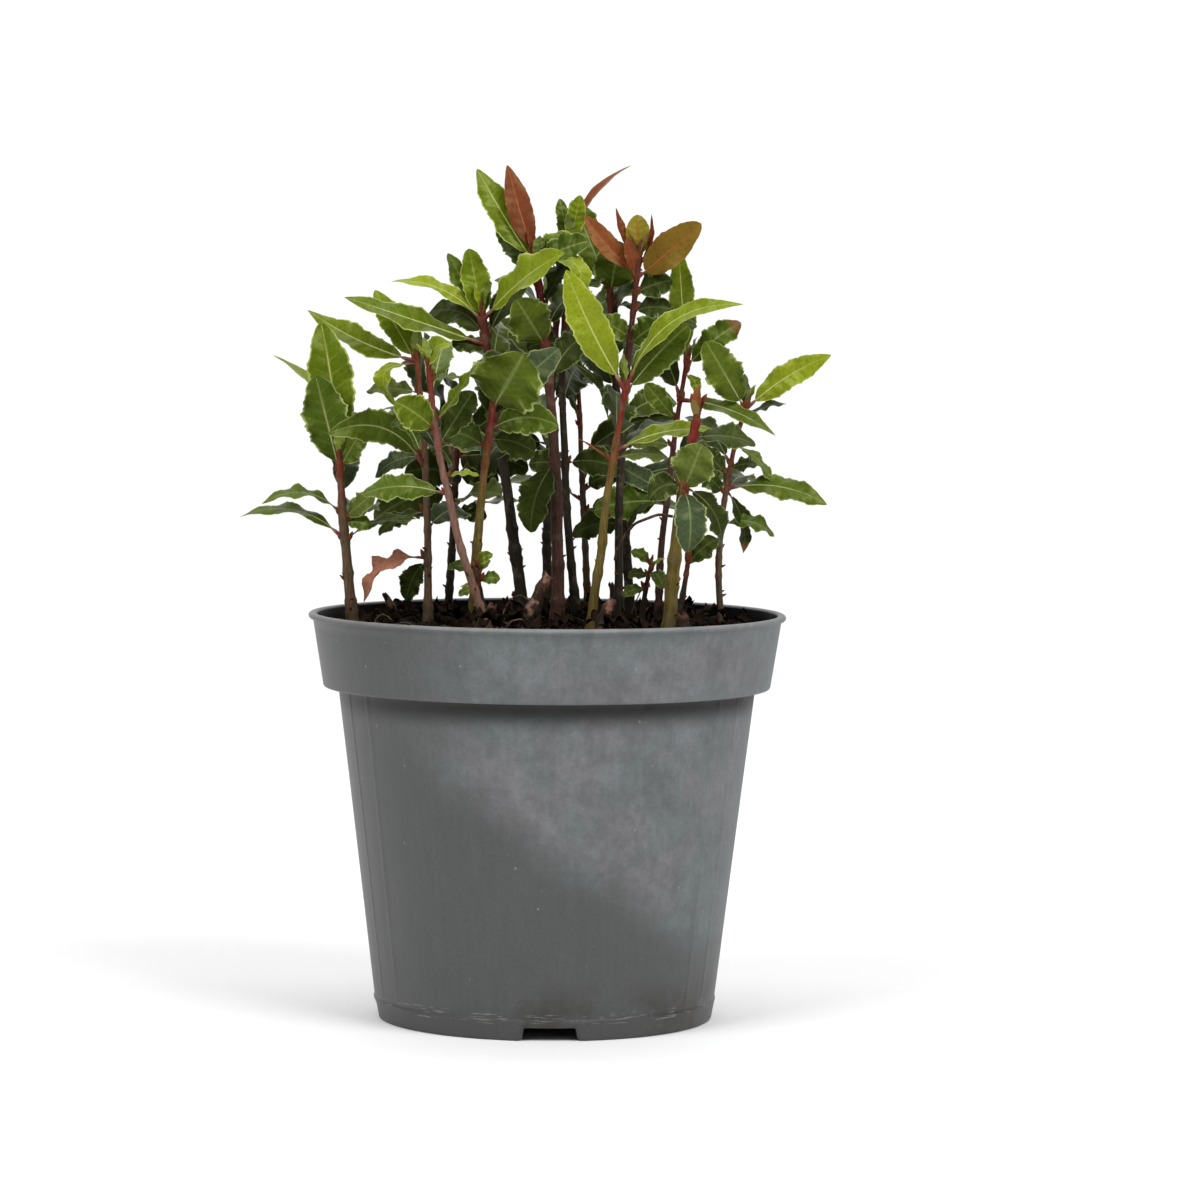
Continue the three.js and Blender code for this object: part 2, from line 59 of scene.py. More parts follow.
# Pot, in millimetres and degrees
POT_HEIGHT = 162.0
FOOT_RADIUS = 67.4
FOOT_INSIDE = 64.3  # the underside lies within this radius
BASE_LEVEL = 7.0  # the pot's floor, and below it the underside
BODY_FOOT = 1.4
BODY_RADIUS = 83.3
COLLAR_FOOT = 132.5
COLLAR_FOOT_RADIUS = 89.4
COLLAR_START = 133.9
COLLAR_SLOPE = 0.156
FOOT_LINE = 8.7
NOTCH_COUNT = 4
NOTCH_TURN = -88.0
NOTCH_HALF = 10.6
NOTCH_HEIGHT = 5.2
NOTCH_ROUND = 2.4
SEAM_TURNS = (-159.0, -147.5, -36.0, -25.5, 80.0, 91.0)
SEAM_HALF = 0.7
LIP_INSIDE = 161.4  # the inside ends below this height
WALL = 0.8  # a point this far under the outer face lies inside
FILM_SLANT = (0.547, 0.0, 0.837)  # the way up, square to the film's slanting edge
POT_STEPS = 480
SAG_FROM = 100.0  # the wall above this height is a little out of round
SAG = 0.35
SAG_TURN = 40.0

# Soil, in millimetres, and what lies on it
SOIL_TOP = 157.0
SOIL_RADIUS = 91.0
SOIL_FOOT = 145.0
SOIL_FOOT_RADIUS = 88.2
SOIL_STEPS = 160
SOIL_SINK = 1.2  # how far the middle level lies below the top
CRUMB_SHARE = 0.97
CHIPS = 110
CHIP_REACH = 86
FIBRES = 46
FIBRE_REACH = 80
FIBRE_LIMIT = 88
FIBRE_POINTS = 12
FIBRE_SIDES = 5
FALLEN = 44
FALLEN_REACH = 78
# Least and greatest turn, rise, length, width, facing and arch of a fallen leaf
FALLEN_SHAPE = ((0, 360), (0, 30), (8, 17), (5, 9), (0, 60), (0.05, 0.25))

# Limbs, in millimetres and shares
STEM_FOOT = 157.3
TIP_SHARE = 0.55  # girth at the tip
FLARE = 0.5
FLARE_SHARE = 0.1
BARK_STEP = 1.5
BARK_SIDES = 12
STUB_LUMP = 0.5
SPURS = 4
STEM_SUNK = 4.0  # how far the foot reaches into the soil
STEM_WAVER = 0.9  # how far the stem strays from its bow
SCARS = 4
SCAR_HALF = 1.3
SCAR_SWELL = 0.24

# Leaves, in millimetres and shares
STALK = 0.14
STALK_HALF_WIDTH = 0.9
BLUNTNESS = 0.58
BLADE_LEAN = 0.95
GOLDEN_SHARE = 0.618
LEAF_CLEAR = 4.6
LIMB_CLEAR = 2.6
SPOT_ROWS = 8  # rows of spots at which a leaf is tried for room
SMALL_LEAF = 19.0  # shorter leaves have a coarser net
TIP_LEAVES = 3
BLADE_HALF_DEPTH = 0.17
RIB_STATIONS = 22
SMALL_RIB_STATIONS = 9
RIB_SIDES = 6

# Crown space that the leaves of the rule stay under
DOME_TOP = 322.0
DOME_FALL = 0.0066
CROWN_FOOT = 166.0
CROWN_DEPTH = 94.0

# Gaps that let the viewer see through the crown: left, right, foot and top in the plane of the pot's axis
GAPS = ((4.8, 11, 228, 245), (11, 19, 231, 243), (-39, -30, 257, 265), (-35, -28, 244, 252),
        (-74, -58, 215, 231), (-93, -85, 205, 218), (12, 16, 296, 303), (76, 90, 253, 262))
VIEW_DISTANCE = 1792.0
VIEW_LEVEL = 161.0
VIEW_FALL = 0.062
VIEWER_TURN = -90

# How often a leaf is tried before it is left out, and the steps in which a seen one sways, in degrees
SEEN_TRIALS = 13
SEEN_SWAY = 7
RULE_TRIALS = 9

# Starts of the random draws
CRUMB_SEED = 11
LITTER_SEED = 12
BUD_SEED = 31
LEAF_SEED = 71
STEM_SEED = 200
TIP_SEED = 40
LUMP_SEED = 40
FULL_TURN = 6.283  # in radians
ANY_PHASE = 6.3  # in radians, a little over a turn

# Stage, in metres and degrees
FLOOR_FRONT, FLOOR_HALF = -3.0, 4.0
SWEEP_START, SWEEP_RADIUS, BACKDROP_TOP = 1.6, 0.9, 3.2
CAMERA_BACK, CAMERA_HEIGHT, CAMERA_FALL, CAMERA_ROLL = 1.792, 0.283, 3.7, 0.45
CAMERA_SHIFT, CAMERA_SENSOR, CAMERA_REACH = 0.04375, 36.0, 50.0
# One lamp: name, the setting for its power, size, place, and what it points at
LAMPS = (
    ("key_lamp", "key", 0.9, (0.95, -1.0, 1.5), (0, 0, 0.2)),
    ("fill_lamp", "fill", 0.9, (-0.95, -1.0, 1.5), (0, 0, 0.2)),
    ("back_lamp", "back", 2.4, (0, 0.9, 2.3), (0, 2.4, 0.6)),
)

# One shoot: name, foot, top, girth, bow, bare share, leaves added by the rule, their arc and size, bark,
# leaves seen. One leaf: share of the height, turn, rise, length, width, how far it faces the viewer, arch,
# kind, and the dry share of its tip, if any.
SHOOTS = [
    ("far_left", (-77.4, -5), (-83.4, -5, 224), 4.6, -1, 0.41, 3, 40, 1, "brown", [
        (0.9, -160, 75, 40, 18, 88, 0.0, "mature"), (0.96, 150, 81, 57, 18, 75, 0.02, "bright"),
        (0.98, 151, 53, 52, 11, -30, 0.14, "young"), (0.97, 72, 43, 29, 12, 40, 0.1, "grey"),
        (0.93, -10, 60, 18, 11, 70, 0.0, "mature"), (0.65, -168, 8, 33, 8, 25, 0.2, "grey"),
        (0.5, -178, 12, 43.3, 9, 25, 0.17, "mature"), (0.63, -30, 36, 18, 9, 60, 0.0, "grey"),
        (0.6, -20, -5, 12, 7, 60, 0.1, "mature"), (0.5, -15, 18, 31, 6, 30, 0.1, "dark")]),
    ("left", (-48, 6), (-53, 4, 263), 3.4, 3, 0.12, 3, 120, 1, "brown", [
        (0.99, 166, 24, 50, 12, 55, -0.05, "bright"), (0.98, 160, 58, 35, 11, 70, 0.0, "young"),
        (0.98, -160, -63, 19.5, 9, 30, 0.53, "young"), (0.59, -150, 17, 48, 14, 70, 0.19, "mature"),
        (0.42, 172, -25, 22, 8, 35, 0.1, "dark"), (0.245, -165, -33, 32, 8, 40, 0.22, "dead"),
        (0.24, 165, -62, 19, 10, 70, 0.1, "dark"), (0.87, 170, 2, 22, 9, 50, 0.06, "grey"),
        (0.63, 172, -22, 22, 9, 55, 0.12, "blue")]),
    ("left_back", (-41, 58), (-37, 58, 238), 3.4, 0, 0.4, 9, 330, 1, "dark", [
        (0.62, -165, -18, 36, 19, 80, 0.1, "dark"), (0.8, -15, -8, 31, 18, 75, 0.1, "dark"),
        (0.5, 10, 0, 14, 9, 60, 0.1, "dark"), (0.7, -150, 5, 24, 16, 80, 0.1, "dark"),
        (0.7, -5, -3, 18, 13, 70, 0.1, "dark")]),
    ("left_front", (-23, -42), (-47, -46, 262), 3.5, -8, 0.47, 2, 100, 1, "pink", [
        (0.95, -40, 50, 17, 12, 50, 0.3, "young"), (0.93, 10, 2, 16, 6, 20, 0.1, "mature"),
        (0.75, -150, 32, 21, 14, 85, 0.04, "bright"), (0.73, 160, 14, 20, 8, 40, 0.1, "dark"),
        (0.78, -18, 55, 28, 9, 40, -0.05, "bright"), (0.69, 22, 56, 26, 12, 70, 0.0, "dark"),
        (0.51, -165, 2, 34, 12, 60, 0.08, "mature"), (0.57, -10, 6, 14, 5, 20, 0.1, "young")]),
    ("centre_left_front", (-29, -28), (-22, -31, 246), 4.3, -3, 0.6, 2, 100, 1, "green", [
        (0.97, -45, 52, 28, 29, 85, 0.0, "mature"), (0.88, -12, 5, 28, 14, 75, 0.15, "mature"),
        (0.84, 15, -15, 20, 14, 70, 0.1, "dark"), (0.98, 14, 42, 36, 15, 60, 0.0, "blue"),
        (0.8, 165, 20, 19, 14, 60, 0.1, "dark")]),
    ("centre_left", (-9, 12), (-27, 8, 281), 5, 0, 0.4, 4, 140, 1, "dark", [
        (0.97, -174, 25, 41, 9, 40, 0.12, "young"), (0.97, 140, 75, 31, 12, 70, 0.0, "young"),
        (0.96, 150, 60, 34, 10, 60, 0.0, "mature"), (0.98, -35, 33, 50, 16, 50, 0.04, "young"),
        (0.9, -166, 18, 61, 14, 35, 0.0, "bright"), (0.92, 160, 23, 27, 15, 50, 0.2, "dark"),
        (0.885, -172, 10, 15, 8, 60, 0.05, "dark")]),
    ("centre", (4, 2), (-6.2, -2, 305), 5.2, 6, 0.39, 4, 160, 1, "red", [
        (0.97, 166, 57.5, 45.5, 13, 60, -0.02, "bright"), (0.99, 160, 72.5, 38.8, 10.5, 75, -0.02, "red"),
        (0.98, -24, 20, 24, 13, 60, 0.02, "mature"), (0.97, -45, -50, 28, 9, 30, 0.55, "young"),
        (0.86, -20, 58, 24, 10, 50, 0.0, "dark"), (0.75, -148, 48, 25, 18, 85, 0.0, "mature"),
        (0.44, -165, -69, 30, 14, 60, 0.1, "dark"), (0.965, 8, 44, 20, 10, 60, 0.12, "bright")]),
    ("centre_back", (0, 48), (4, 50, 298), 4, -3, 0.32, 12, 360, 1, "dark", [
        (0.5, -165, -4, 30, 15, 70, 0.1, "dark")]),
    ("centre_right_back", (12.5, 28), (8, 27, 312), 3.6, -9, 0.36, 6, 180, 1, "dark", [
        (0.98, 10, 54, 42, 8, 15, 0.09, "red"), (0.98, -50, 72, 21, 8, 80, 0.0, "young"),
        (0.41, -14, -6, 25, 13, 70, 0.1, "dark"), (0.97, 150, 78, 21, 7, 70, 0.0, "mature"),
        (0.4, -165, 5, 15, 11, 75, 0.1, "dark"), (0.72, -160, -5, 16, 13, 75, 0.1, "dark"),
        (0.68, -6, -51, 29.6, 6, 30, 0.19, "dark")]),
    ("back", (17, 64), (12, 68, 252), 3, 0, 0.3, 13, 330, 1, "brown", []),
    ("right_front", (17, -38), (30, -42, 254), 3.9, -2, 0.5, 1, 80, 1, "green", [
        (0.98, -170, 63, 52, 15, 85, -0.03, "young"), (0.97, -30, 34, 62, 11, 45, 0.18, "young"),
        (0.96, -5, 48, 37, 15, 75, 0.03, "mature"), (0.73, -13, 13, 40, 10, 30, 0.08, "bright"),
        (0.7, 8, 2, 22, 8, 35, 0.08, "grey"), (0.69, 172, 34, 17, 2.4, 20, 0.0, "red")]),
    ("right_top", (29, 12), (36, 8, 306), 3.6, -6, 0.5, 2, 90, 1, "dark", [
        (0.98, 100, 74, 19, 10, 70, 0.0, "bronze"), (0.98, 160, 66, 23, 5, 30, -0.1, "red"),
        (0.94, 176, 48, 32, 9, 70, -0.04, "red"), (0.97, -5, 78, 20, 5, 30, -0.15, "red"),
        (0.93, -150, 74, 17, 6, 70, 0.0, "red"), (0.93, -22, 39, 35, 14, 80, 0.0, "bronze"),
        (0.89, -8, 20, 16, 11, 70, 0.05, "dark"), (0.78, -5, 8, 27, 13, 60, 0.1, "dark"),
        (0.75, -40, 30, 18, 12, 70, 0.05, "mature"), (0.77, -150, 25, 16, 11, 70, 0.05, "mature"),
        (0.84, 5, 4, 16, 10, 60, 0.1, "dark")]),
    ("right_back", (34, 38), (24, 36, 295), 4, 0, 0.27, 7, 180, 1, "dark", [
        (0.97, 168, 67, 40, 15, 75, 0.0, "mature"), (0.96, -75, 58, 25, 18, 88, 0.0, "mature"),
        (0.92, -8, -2, 16, 6, 20, 0.1, "dark"), (0.42, -172, -12, 14, 10, 60, 0.1, "dark"),
        (0.28, 178, -12, 22, 12, 60, 0.1, "dark")]),
    ("right", (44.8, 22), (55.5, 19, 263), 3, -4, 0.42, 2, 120, 1, "red", [
        (0.97, -10, 40, 29, 12, 60, 0.05, "mature", 0.2), (0.98, -120, 81, 49, 11, 80, 0.0, "bright"),
        (0.85, -44, -13, 52, 8, 45, 0.05, "mature"), (0.77, -165, 48, 20, 9, 70, 0.0, "mature"),
        (0.49, -177, 27, 27, 10, 60, 0.0, "blue"), (0.46, 174, -7, 30, 15, 65, 0.05, "mature"),
        (0.45, -160, -40, 21, 4, 20, 0.28, "dark"), (0.95, -20, -60, 10, 5, 50, 0.2, "bright"),
        (0.67, 178, 4, 17, 8, 60, 0.08, "grey")]),
    ("right_woody", (47.6, -46), (57.5, -50, 242), 5.7, -4, 0.6, 1, 80, 1, "green", [
        (0.65, -51, 60, 22, 17, 88, 0.0, "grey"), (0.66, -80, -62, 27, 13, 60, 0.3, "blue"),
        (0.68, 8, -56, 28, 11, 55, 0.15, "dark"), (0.68, -165, -20, 15, 12, 70, 0.2, "dark"),
        (0.9, 20, -5, 25, 12, 40, 0.08, "dark"), (0.97, 60, 82, 15, 4, 40, 0.05, "red")]),
    ("right_short", (51.5, -8), (56, -8, 185), 2.8, 0, 0.5, 1, 60, 1, "dark", [
        (0.9, -10, 42, 16, 10, 70, 0.05, "dark")]),
    ("far_right", (70.1, 4), (79, 2, 245.5), 2.8, -10, 0.41, 3, 70, 1, "brown", [
        (0.98, -163, 58, 32, 15, 85, 0.0, "mature"), (0.98, -13, 33, 40.8, 11, 70, 0.05, "young"),
        (0.92, 4, 24, 20, 6, 20, 0.1, "dark"), (0.82, 0, -45, 22, 7, 40, 0.1, "grey", 0.12),
        (0.62, -8, -8, 41, 11.5, 45, 0.1, "mature"), (0.455, -6, -10, 22, 9, 45, 0.16, "mature"),
        (0.6, -150, 40, 16, 10, 60, 0.0, "dark"), (0.68, 160, 44, 16, 9, 60, 0.0, "dark"),
        (0.71, -25, 8, 12, 8, 50, 0.1, "dark"), (0.62, 5, -73, 27, 8, 50, 0.1, "dark", 0.2)]),
    ("low_left", (-24, -34), (-28.5, -36, 183), 2.4, 1, 0.4, 2, 160, 0.2, "dark", [
        (0.97, -25, 36, 9, 5, 60, 0.1, "bright"), (0.75, -20, 8, 9, 5.5, 60, 0.1, "mature"),
        (0.9, -165, 8, 12, 5, 50, 0.1, "dark"), (0.62, -150, -12, 10, 4.5, 50, 0.1, "grey")]),
    ("low_right", (37, -24), (41, -27, 184), 2.4, -1, 0.4, 2, 160, 0.2, "dark", [
        (0.96, -170, 34, 10, 5.5, 60, 0.1, "mature"), (0.8, -160, 0, 9, 5, 60, 0.1, "dark"),
        (0.6, -172, -14, 10, 5, 60, 0.1, "grey"), (0.85, -60, -30, 12, 6, 60, 0.2, "dark")]),
    ("old_stub", (-8, -40), (1, -38, 180), 6.4, -2, 1, 0, 0, 1, "wood", []),
]

# Broken stubs of old wood that stand in the soil: foot, top, girth
STUBS = [
    ((20, -66), (25, -67, 172), 5.4), ((-26, -52), (-21, -55, 169), 5.0), ((53, -56), (52, -57, 166), 6.0),
    ((-62, 22), (-66, 20, 168), 3.2), ((30, 52), (26, 55, 171), 4.2), ((-10, 70), (-14, 72, 166), 3.6),
]

# Dead strands that stand clear of the soil: points along each, and its radius
STRANDS = [
    ([(-18.2, -50, 158), (-17, -50, 166), (-14, -50, 171), (-10.5, -49, 172.2), (-7, -48, 170)], 0.3),
    ([(-17, -58, 158), (-14, -58, 162.6), (-10, -58, 163.4), (-7, -57, 160)], 0.35),
    ([(40.4, -26, 180), (37, -23, 173), (34, -22, 166), (32, -22, 158)], 0.25),
    ([(48.5, -45, 203), (42.9, -43, 203.7), (33.8, -39, 199.9), (29.3, -35, 193.8), (26.9, -32, 188.5),
      (26.4, -30, 185)], 0.6),
]

# How each kind of leaf is made: edge wave, edge crinkle, fold, quilting between the veins, and the roughness
# and gloss of its top
LEAF_KINDS = {
    "young": (0.20, 0.065, 0.20, 0.30, 0.30, 0.36),
    "bright": (0.19, 0.070, 0.18, 0.26, 0.32, 0.36),
    "mature": (0.24, 0.080, 0.16, 0.20, 0.34, 0.34),
    "grey": (0.28, 0.085, 0.14, 0.16, 0.44, 0.24),
    "dark": (0.28, 0.085, 0.16, 0.16, 0.40, 0.18),
    "blue": (0.20, 0.065, 0.14, 0.16, 0.36, 0.30),
    "bronze": (0.08, 0.030, 0.16, 0.10, 0.36, 0.26),
    "red": (0.08, 0.035, 0.24, 0.12, 0.38, 0.24),
    "dead": (0.60, 0.110, 0.40, 0.30, 0.66, 0.08),
}
BARK_KINDS = ("brown", "pink", "green", "dark", "red", "wood")
RIB_TONES = {
    "pale": ("young", "bright"),
    "green": ("mature", "grey", "blue"),
    "dark": ("dark",),
    "red": ("bronze", "red", "dead"),
}


def linear(code):
    """An sRGB hex colour as linear red, green and blue with full alpha."""
    parts = [int(code[i:i + 2], 16) / 255 for i in (0, 2, 4)]
    return tuple(c / 12.92 if c <= 0.04045 else ((c + 0.055) / 1.055) ** 2.4 for c in parts) + (1.0,)


def colour(name, description, code):
    return FloatVectorProperty(
        name=name, description=description, subtype="COLOR", size=4, min=0, max=1, default=linear(code))


def length(name, description, default):
    return FloatProperty(name=name, description=description, unit="LENGTH", min=0, default=default)


class PotLook(PropertyGroup):
    """The pot's plastic"""
    grey: colour("Grey", "The bare plastic", "474848")
    film: colour("Film", "Dust dried on the wall", "757578")
    cool: colour("Cool film", "Patches of lime and algae in the dust", "6c7475")
    # The worn colour also makes the lip's top edge paler
    worn: colour("Worn edge", "The rubbed lip", "8c8c8a")
    dirt: colour("Dirt", "Splashes above the foot", "302d29")
    # This colour is soil staining with painted shade on the inside and underside, and painted shade under the
    # collar
    stain_and_shade: colour("Stain", "The inside, above the soil", "0e0d0b")
    seam_height: length("Seam height", "How far the mould seams stand out", 0.3 * MM)


class SoilLook(PropertyGroup):
    """The soil and what lies in it"""
    peat: colour("Peat", "Moist compost", "140d07")
    crumb: colour("Crumb", "Dry crumbs on top", "1e140c")
    chip: colour("Chip", "Bits of bark", "241710")
    fibre: colour("Fibre", "Fine dead roots", "75634e")
    relief: length("Relief", "How far the surface rises and falls", 2.6 * MM)
    crumbs: IntProperty(name="Crumbs", description="Loose crumbs on the surface", min=0, default=520)


class BarkLook(PropertyGroup):
    """Bark colours at the foot and at the tip"""
    brown_low: colour("Brown foot", "Grey-brown bark", "5a4733")
    brown_high: colour("Brown tip", "Young red-brown bark", "6a3324")
    pink_low: colour("Pink foot", "Pinkish bark", "745547")
    pink_high: colour("Pink tip", "Red young bark", "6a2720")
    green_low: colour("Green foot", "Olive bark", "625424")
    green_high: colour("Green tip", "Red young bark", "6c2219")
    dark_low: colour("Dark foot", "Shaded bark", "2d261c")
    dark_high: colour("Dark tip", "Shaded young bark", "55281d")
    red_low: colour("Red foot", "Dark red bark", "4f362d")
    red_high: colour("Red tip", "Red young bark", "5e1f17")
    wood_low: colour("Wood foot", "Old bark", "291b13")
    wood_high: colour("Wood tip", "Broken wood", "4a3024")
    skin: colour("Dead skin", "Grey patches on young bark", "6c6152")
    peeled: colour("Peeled wood", "Pale patches on old stubs", "9c7560")
    relief: FloatProperty(name="Bark relief", description="Share of the radius", min=0, max=0.3, default=0.07)


class LeafLook(PropertyGroup):
    """Leaf colours, two tones to each kind"""
    young_a: colour("Young", "Yellow-green", "7f8a1c")
    young_b: colour("Young, second tone", "Fresh green", "667713")
    bright_a: colour("Bright", "Olive green", "5e6b0e")
    bright_b: colour("Bright, second tone", "Mid green", "4c5d0a")
    mature_a: colour("Mature", "Leaf green", "4e5c15")
    mature_b: colour("Mature, second tone", "Deeper green", "3c4d0e")
    grey_a: colour("Greyed", "Dusty green", "58642a")
    grey_b: colour("Greyed, second tone", "Dull green", "475421")
    # The dark tones are partly the dark green of old leaves and partly painted shade for shaded leaves within
    # the crown
    dark_a: colour("Dark", "Shaded green", "343f15")
    dark_b: colour("Dark, second tone", "Blackish green", "262f0f")
    blue_a: colour("Blue", "Bluish dark green", "434f36")
    blue_b: colour("Blue, second tone", "Deep bluish green", "37432d")
    bronze_a: colour("Bronze", "Olive bronze", "766a1c")
    bronze_b: colour("Bronze, second tone", "Brown bronze", "72541e")
    red_a: colour("Red", "Red-brown", "7a4425")
    red_b: colour("Red, second tone", "Dark red", "65301f")
    dead_a: colour("Dead", "Dry pinkish brown", "b67f68")
    dead_b: colour("Dead, second tone", "Dry brown", "8f5d49")
    pale_rib: colour("Pale rib", "Midrib of young leaves", "adb462")
    green_rib: colour("Green rib", "Midrib of mature leaves", "98a166")
    # The dark rib is darkened along with the dark leaves, so it is partly painted shade too
    dark_rib: colour("Dark rib", "Midrib of dark leaves", "6f7a4c")
    red_rib: colour("Red rib", "Midrib of bronze leaves", "a0492a")
    stalk: colour("Stalk", "Red leaf stalk", "6a2220")
    bud: colour("Bud", "Bud scales", "5b4a26")


class StageLook(PropertyGroup):
    """Floor, light and camera"""
    floor: colour("Floor", "Pale floor and backdrop", "efefef")
    sky: FloatProperty(name="Sky", description="Strength of the even light", min=0, default=0.3)
    key: FloatProperty(name="Key", description="Power of the lamp at the front right", min=0, default=23.5)
    fill: FloatProperty(name="Fill", description="Power of the lamp at the front left", min=0, default=19.5)
    back: FloatProperty(name="Back", description="Power of the lamp on the backdrop", min=0, default=40.0)
    lens: FloatProperty(name="Lens", description="Focal length", unit="CAMERA", default=134.7)


class LaurelSettings(PropertyGroup):
    """All settings of the plant"""
    pot: PointerProperty(type=PotLook)
    soil: PointerProperty(type=SoilLook)
    bark: PointerProperty(type=BarkLook)
    leaf: PointerProperty(type=LeafLook)
    stage: PointerProperty(type=StageLook)


# Sockets of a colour mix: factor, first and second colour, and the result
FACTOR, FIRST, SECOND, RESULT = 0, 6, 7, 2
SMOOTH = "SMOOTHSTEP"


class Shader:
    """One material's node tree, with the kinds of node that every material here is built from."""

    def __init__(self, name):
        self.material = bpy.data.materials.new(name)
        self.material.use_nodes = True
        self.tree = self.material.node_tree
        self.tree.nodes.clear()
        self.place = self.add("TexCoord").outputs["Object"]

    def add(self, kind, inputs=(), **settings):
        """One node with its settings; each input is fed by a socket or set to a value."""
        made = self.tree.nodes.new("ShaderNode" + kind)
        for name, value in settings.items():
            setattr(made, name, value)
        for socket, value in dict(inputs).items():
            if isinstance(value, bpy.types.NodeSocket):
                self.tree.links.new(value, made.inputs[socket])
            else:
                made.inputs[socket].default_value = value
        return made

    def split(self, vector):
        return self.add("SeparateXYZ", {"Vector": vector}).outputs

    def own(self, name):
        """A number that the mesh carries."""
        return self.add("Attribute", attribute_name=name).outputs["Fac"]

    def noise(self, size, detail, rough=0.5):
        """Cloudy noise with features of this size in millimetres."""
        inputs = {"Vector": self.place, "Scale": 1 / (size * MM), "Detail": detail, "Roughness": rough}
        return self.add("TexNoise", inputs).outputs["Fac"]

    def streaks(self, across, upward, detail, rough=0.5):
        """Noise with features this wide and this high in millimetres."""
        scale = (1 / (across * MM), 1 / (across * MM), 1 / (upward * MM))
        vector = self.add("Mapping", {"Vector": self.place, "Scale": scale}).outputs[0]
        inputs = {"Vector": vector, "Scale": 1.0, "Detail": detail, "Roughness": rough}
        return self.add("TexNoise", inputs).outputs["Fac"]

    def cells(self, size, **settings):
        """Cells of this size in millimetres."""
        return self.add("TexVoronoi", {"Vector": self.place, "Scale": 1 / (size * MM)}, **settings).outputs

    def dots(self, size, inner, outer, strength, rare, all_rare):
        """Soft dots in the middle of cells of this size, in only some of the cells."""
        cell_at = self.cells(size)
        dot = self.ramp(cell_at["Distance"], inner, outer, strength, 0.0)
        return self.maths("MULTIPLY", dot, self.ramp(cell_at["Color"], rare, all_rare))

    def ramp(self, value, start, end, low=0.0, high=1.0, kind="LINEAR"):
        inputs = {"Value": value, "From Min": start, "From Max": end, "To Min": low, "To Max": high}
        return self.add("MapRange", inputs, interpolation_type=kind).outputs[0]

    def maths(self, operation, *terms, clamp=False):
        return self.add("Math", enumerate(terms), operation=operation, use_clamp=clamp).outputs[0]

    def mix(self, factor, first, second, blend="MIX"):
        inputs = {FACTOR: factor, FIRST: first, SECOND: second}
        return self.add("Mix", inputs, data_type="RGBA", blend_type=blend).outputs[RESULT]

    def bump(self, height, strength, depth):
        """A bump with its full depth in millimetres."""
        inputs = {"Height": height, "Strength": strength, "Distance": depth * MM}
        return self.add("Bump", inputs).outputs[0]

    def finish(self, tone, rough, inputs):
        shine = self.add("BsdfPrincipled", {"Base Color": tone, "Roughness": rough, **inputs})
        self.add("OutputMaterial", {"Surface": shine.outputs[0]})
        return self.material


